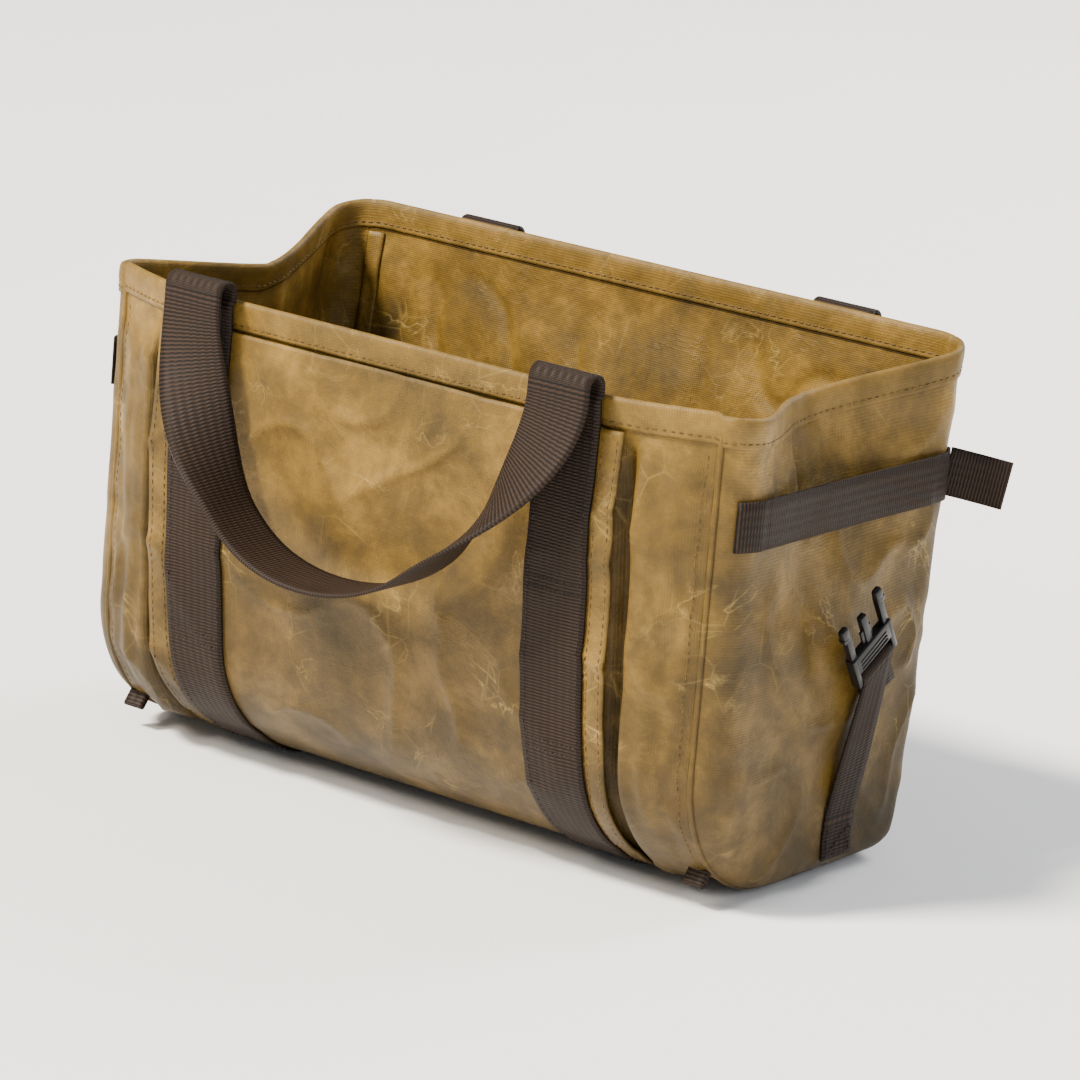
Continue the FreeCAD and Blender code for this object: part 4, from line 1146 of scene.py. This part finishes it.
for side, hand in HANDS:
    frames = []
    for step in range(9):
        spot = Vector((FOOT_X + 0.3 * math.sin(step), 22, FOOT_LOW + FOOT_LENGTH * step / 8))
        frames.append((spot, Vector((0, 1, 0))))
    for step in range(1, 41):
        share = step / 41
        spot = HINGE.lerp(BAR - STRAP_UP * 2, share) + BUCKLE_OUT * LOOP_RADIUS * share**2
        spot += Vector((0.9, 0, 0)) * math.sin(math.pi * share)
        cross = Vector((0, 1, 0)).lerp(BAR_WAY, soft_step(share, 0.1, 1.05)).normalized()
        frames.append((spot, cross))
    for step in range(13):
        angle = math.pi * step / 12
        ring = BUCKLE_OUT * math.cos(angle) + BUCKLE_UP * math.sin(angle)
        frames.append((BAR + ring * LOOP_RADIUS, BAR_WAY))
    for step in range(1, 11):
        reach = 2.4 * step
        spot = BAR - BUCKLE_OUT * (LOOP_RADIUS - 0.04 * step) - BUCKLE_UP * reach
        frames.append((spot, BAR_WAY.lerp(Vector((0, 1, 0)), 0.03 * step).normalized()))
    turned = []
    for centre, way in frames:
        crosswise = Vector((way.x * side, way.y, way.z)).normalized()
        turned.append((Vector((centre.x * side, centre.y, centre.z)), crosswise))
    upright_bm = ribbon_bm(turned, STRAP_WIDTH)
    hold = ("bag", f"buckle_strap_{hand}", Vector((0, 0, 30)), Vector((0, 0, 39)))
    sewn_nodes = [f"buckle_strap_{hand}", f"strap_anchor_{hand}"]
    finish(upright_bm, f"buckle_strap_band_{hand}", WEBBING, hold, sewn_nodes, -STRAP)
    # The foot is held by a box of stitches with a diagonal across it.
    box_bm = bmesh.new()
    corners = [(-10, 15), (10, 15), (10, 29), (-10, 29), (-10, 15), (10, 29)]
    for (y0, z0), (y1, z1) in zip(corners, corners[1:]):
        ends = [Vector((side * BOX_STITCH_X, 22 + y, z)) for y, z in ((y0, z0), (y1, z1))]
        line = [(ends[0].lerp(ends[1], i / 10), Vector((side, 0, 0))) for i in range(11)]
        sew(box_bm, line, pitch=2.6, length=2.1)
    finish(box_bm, f"buckle_strap_box_stitch_{hand}", DARK_THREAD, "bag", [])

# ---- Buckles ----
# The plug half of a side-release buckle, moulded in black acetal: a frame with a round bar for the webbing,
# a ribbed grip, two springy side prongs with hooked heads and a guide between them.


def moulded_plastic(name, deep, worn, rough, grain):
    """Injection-moulded plastic: nearly even, with a fine spark-eroded grain and slight scuffing."""
    material, tree, shader, place = new_material(name)
    scuffs = add_node(
        tree,
        "ShaderNodeTexNoise",
        {"Vector": place.outputs["Object"], "Scale": 1 / (9 * MM), "Detail": 6.0, "Roughness": 0.7},
    )
    tone = add_node(
        tree,
        "ShaderNodeValToRGB",
        {"Fac": scuffs.outputs["Fac"]},
        stops=[(0.4, linear(deep)), (0.75, linear(worn))],
    )
    tree.links.new(tone.outputs["Color"], shader.inputs["Base Color"])
    # The real grain is about a tenth of a millimetre and is drawn coarser so that it shows.
    pits = add_node(
        tree,
        "ShaderNodeTexNoise",
        {"Vector": place.outputs["Object"], "Scale": 1 / (grain * MM), "Detail": 2.0},
    )
    relief = add_node(
        tree, "ShaderNodeBump", {"Strength": 0.25, "Distance": 0.1 * MM, "Height": pits.outputs["Fac"]}
    )
    tree.links.new(relief.outputs["Normal"], shader.inputs["Normal"])
    sheen = add_node(
        tree,
        "ShaderNodeMapRange",
        {
            "Value": scuffs.outputs["Fac"],
            "From Min": 0.3,
            "From Max": 0.7,
            "To Min": rough - 0.06,
            "To Max": rough + 0.1,
        },
    )
    tree.links.new(sheen.outputs["Result"], shader.inputs["Roughness"])
    shader.inputs["IOR"].default_value = 1.48
    shader.inputs["Specular IOR Level"].default_value = 0.3
    return material


BLACK_ACETAL = moulded_plastic("moulded_acetal_black", "#050506", "#0F0F10", 0.34, 0.8)


def block(bm, centre, size, soften):
    """A box with softened edges, placed in the buckle's own axes: across, towards its tips and outwards."""
    stretch = Matrix.Diagonal(Vector((*size, 1)))
    made = bmesh.ops.create_cube(bm, size=1, matrix=Matrix.Translation(Vector(centre)) @ stretch)
    edges = list({edge for vert in made["verts"] for edge in vert.link_edges})
    bmesh.ops.bevel(bm, geom=edges, offset=soften, segments=2, affect="EDGES", profile=0.5, material=-1)


PRONG_X = 14.6

for side, hand in HANDS:
    buckle_bm = bmesh.new()
    for x in (-PRONG_X, PRONG_X):
        block(buckle_bm, (x, 8.6, 0), (3.6, 20.8, 5.6), 0.9)
        block(buckle_bm, (x * 0.93, 28.0, 0), (4.2, 20.0, 3.8), 0.7)
        # Hooked head, wider outwards and blunt at its tip.
        block(buckle_bm, (x * 0.98, 38.4, 0), (5.6, 8.6, 4.0), 1.5)
        block(buckle_bm, (x * 1.03, 35.6, 0), (4.6, 3.2, 4.0), 0.6)
    turn = Matrix.Rotation(math.pi / 2, 4, "Y")
    bmesh.ops.create_cone(
        buckle_bm, cap_ends=True, segments=20, radius1=BAR_RADIUS, radius2=BAR_RADIUS, depth=29, matrix=turn
    )
    block(buckle_bm, (0, 12.9, 0), (29.8, 12.2, 5.6), 1.1)
    # Ribs to grip, the base of the prongs, and the guide between them.
    for y in (8.9, 11.7, 14.5):
        block(buckle_bm, (0, y, 0), (22.0, 1.3, 6.6), 0.45)
    block(buckle_bm, (0, 17.6, 0), (26.0, 3.0, 4.4), 0.6)
    block(buckle_bm, (0, 28.2, 0), (4.6, 19.0, 3.6), 0.8)
    block(buckle_bm, (0, 24.0, 0), (8.5, 9.0, 1.6), 0.5)
    axes = Matrix((BAR_WAY, BUCKLE_UP, BUCKLE_OUT)).transposed().to_4x4()
    bmesh.ops.transform(buckle_bm, matrix=Matrix.Translation(BAR) @ axes, verts=buckle_bm.verts)
    if side < 0:
        bmesh.ops.scale(buckle_bm, vec=Vector((-1, 1, 1)), verts=buckle_bm.verts)
    bmesh.ops.recalc_face_normals(buckle_bm, faces=buckle_bm.faces)
    body = f"buckle_{hand}"
    buckle = finish(buckle_bm, f"plug_buckle_{hand}", BLACK_ACETAL, body, [body])
    buckle.data.set_sharp_from_angle(angle=math.radians(38))

# ---- Corner tabs ----
# A short folded loop of narrow tape is caught in each side seam on the bend under the front.

TAB_BASE = Vector((0, -65.8, 19.5))
TAB_OUT = Vector((0, -0.608, -0.793))
TAB_ACROSS = Vector((0, -0.793, 0.608))
TAB_X = 184
TAB_HALF_GAP = 0.9
TAB_STEP = 1.35
TAB_LENGTH = 8.1

for side, hand in HANDS:
    frames = []
    for step in range(7):
        leg = TAB_ACROSS * TAB_HALF_GAP + TAB_OUT * (step * TAB_STEP)
        frames.append((TAB_BASE + leg, Vector((1, 0, 0))))
    for step in range(1, 6):
        angle = math.pi * step / 6
        out = TAB_OUT * (math.sin(angle) * TAB_HALF_GAP + TAB_LENGTH)
        bend = TAB_ACROSS * math.cos(angle) * TAB_HALF_GAP + out
        frames.append((TAB_BASE + bend, Vector((1, 0, 0))))
    for step in range(7):
        leg = TAB_OUT * (TAB_LENGTH - step * TAB_STEP) - TAB_ACROSS * TAB_HALF_GAP
        frames.append((TAB_BASE + leg, Vector((1, 0, 0))))
    placed = [(centre + Vector((side * TAB_X, 0, 0)), way) for centre, way in frames]
    tab_bm = ribbon_bm(placed, 12.0, 4)
    finish(tab_bm, f"corner_tab_loop_{hand}", WEBBING, "bag", [f"corner_tab_{hand}"], -1.3)

# ---- Frame sleeve ----
# A canvas sleeve on the rear face holds the carrier frame. It is sewn down at its sides and lower edge,
# open at the top, and has a bound opening for the socket.

REAR_FOOT = Vector((0, BOTTOM_HALF, FLOOR))
REAR_LEAN = math.atan(REAR_SLOPE)
REAR_UP = Vector((0, math.sin(REAR_LEAN), math.cos(REAR_LEAN)))
REAR_OUT = Vector((0, math.cos(REAR_LEAN), -math.sin(REAR_LEAN)))
SLEEVE_HALF = 96.2
SLEEVE_LOW = 17.0
SLEEVE_TOP = 233.5
SLEEVE_STAND = 11.9
SLEEVE_SAG = 1.9
TUBE_HALF = 84
TUBE_LOW = 34
TUBE_TOP = 224
WINDOW_HALF = 38.0
WINDOW_LOW = 35.0
WINDOW_TOP = 139.0
BINDING_SET = 4.5


def on_rear(x, climb, depth):
    """A point on the rear face, from its foot at the middle: across, up and outwards."""
    return REAR_FOOT + Vector((x, 0, 0)) + REAR_UP * climb + REAR_OUT * depth


def sleeve_depth(x, climb):
    """How far the sleeve stands off the rear face: over the tube at its edges, sagging inside it."""
    inset = min(SLEEVE_HALF - abs(x), climb - SLEEVE_LOW)
    turn = min(1.0, max(0.0, inset) / 3.6)
    wall = math.sqrt(max(0.0, 1 - (1 - turn) ** 2))
    inner = soft_step(min(TUBE_HALF - abs(x), climb - TUBE_LOW), 0, 26) * soft_step(TUBE_TOP - climb, 0, 22)
    window = max(abs(x) - WINDOW_HALF, climb - WINDOW_TOP, WINDOW_LOW - climb)
    sag = SLEEVE_SAG * inner * soft_step(window, 2, 22)
    folds = crumple(Vector((x, 300, climb)), 6) * 0.55 * soft_step(inset, 6, 22) * (1 - 0.7 * (window < 10))
    return 0.8 + SLEEVE_STAND * wall - sag + max(-0.9, min(folds, 1.6))


def sleeve_point(u, v):
    x = SLEEVE_HALF * math.cos(math.pi * u)
    climb = SLEEVE_LOW + (SLEEVE_TOP - SLEEVE_LOW) * (1 - math.cos(math.pi * v / 2))
    return on_rear(x, climb, sleeve_depth(x, climb))


sleeve_bm = cloth_grid(130, 120, sleeve_point, (2 * SLEEVE_HALF, SLEEVE_TOP - SLEEVE_LOW))
opening = []
for face in sleeve_bm.faces:
    middle_point = face.calc_center_median() - REAR_FOOT
    climb = middle_point.dot(REAR_UP)
    if abs(middle_point.x) < WINDOW_HALF and WINDOW_LOW < climb < WINDOW_TOP:
        opening.append(face)
bmesh.ops.delete(sleeve_bm, geom=opening, context="FACES")
finish(sleeve_bm, "frame_sleeve_canvas", TAN_CANVAS, "bag", ["frame_sleeve"], CANVAS)


def sleeve_strip(name, corners, radii):
    """A flat strip sewn along a line on the sleeve, with a row of stitches down its middle."""
    path = rounded_path([Vector(corner) for corner in corners], radii)
    at, total = traveller(path)
    steps = max(8, int(total / 3))
    frames = []
    for step in range(steps + 1):
        spot, ahead = at(total * step / steps)
        across = Vector((ahead.y, -ahead.x, 0))
        centre = on_rear(spot.x, spot.y, sleeve_depth(spot.x, spot.y) + 0.7)
        frames.append((centre, Vector((across.x, 0, 0)) + REAR_UP * across.y))
    strip = ribbon_bm(frames, 10.0, 4)
    finish(strip, name, LIGHT_CANVAS, "bag", [], -1.0)
    bm = bmesh.new()
    for shift in (-3.6, 3.6):
        sew(bm, [(centre + across * shift + REAR_OUT * 0.5, REAR_OUT) for centre, across in frames])
    finish(bm, f"{name}_stitches", TAN_THREAD, "bag", [])


left, right = -WINDOW_HALF - BINDING_SET, WINDOW_HALF + BINDING_SET
low, high = WINDOW_LOW - BINDING_SET, WINDOW_TOP + BINDING_SET
window_corners = [(x, climb, 0) for x, climb in ((0, low), (right, low), (right, high), (left, high))]
window_corners += [(left, low, 0), (0, low, 0)]
sleeve_strip("sleeve_window_binding", window_corners, [7, 7, 7, 7])
sleeve_strip("sleeve_top_hem", [(-91, SLEEVE_TOP - 5, 0), (91, SLEEVE_TOP - 5, 0)], [])

# ---- Carrier frame, socket and stiffener ----
# A bent aluminium tube with two flat struts carries the bag. A moulded socket is screwed to the struts and
# slides down over the bicycle's carrier block. A plastic board stiffens the bottom inside.


def worked_metal(name, colour, lit, rough, line):
    """Metal with a satin surface: fine marks from brushing or plating that vary its gloss."""
    material, tree, shader, place = new_material(name)
    stretch = add_node(
        tree, "ShaderNodeMapping", {"Vector": place.outputs["Object"], "Scale": Vector((1.0, 6.0, 1.0))}
    )
    marks = add_node(
        tree,
        "ShaderNodeTexNoise",
        {"Vector": stretch.outputs["Vector"], "Scale": 1 / (line * MM), "Detail": 4.0, "Roughness": 0.65},
    )
    tone = add_node(
        tree,
        "ShaderNodeValToRGB",
        {"Fac": marks.outputs["Fac"]},
        stops=[(0.3, linear(colour)), (0.7, linear(lit))],
    )
    tree.links.new(tone.outputs["Color"], shader.inputs["Base Color"])
    gloss = add_node(
        tree,
        "ShaderNodeMapRange",
        {
            "Value": marks.outputs["Fac"],
            "From Min": 0.3,
            "From Max": 0.7,
            "To Min": rough - 0.07,
            "To Max": rough + 0.09,
        },
    )
    tree.links.new(gloss.outputs["Result"], shader.inputs["Roughness"])
    relief = add_node(
        tree, "ShaderNodeBump", {"Strength": 0.2, "Distance": 0.05 * MM, "Height": marks.outputs["Fac"]}
    )
    tree.links.new(relief.outputs["Normal"], shader.inputs["Normal"])
    shader.inputs["Metallic"].default_value = 1.0
    return material


FRAME_ALUMINIUM = worked_metal("anodised_aluminium_satin", "#A9ABAE", "#C3C5C7", 0.36, 4.0)
SCREW_STEEL = worked_metal("zinc_plated_steel", "#8F9194", "#B4B6B8", 0.3, 2.0)
SOCKET_NYLON = moulded_plastic("moulded_glass_filled_nylon", "#0B0B0C", "#19191A", 0.5, 1.1)
BOARD_PLASTIC = moulded_plastic("extruded_polyethylene_board", "#17181A", "#2A2B2D", 0.48, 1.6)

for node, material in (
    ("carrier_frame", FRAME_ALUMINIUM),
    ("frame_strut_lower", FRAME_ALUMINIUM),
    ("frame_strut_upper", FRAME_ALUMINIUM),
    ("carrier_socket", SOCKET_NYLON),
    ("socket_screws", SCREW_STEEL),
    ("base_board", BOARD_PLASTIC),
):
    for material_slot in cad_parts[node].material_slots:
        material_slot.material = material
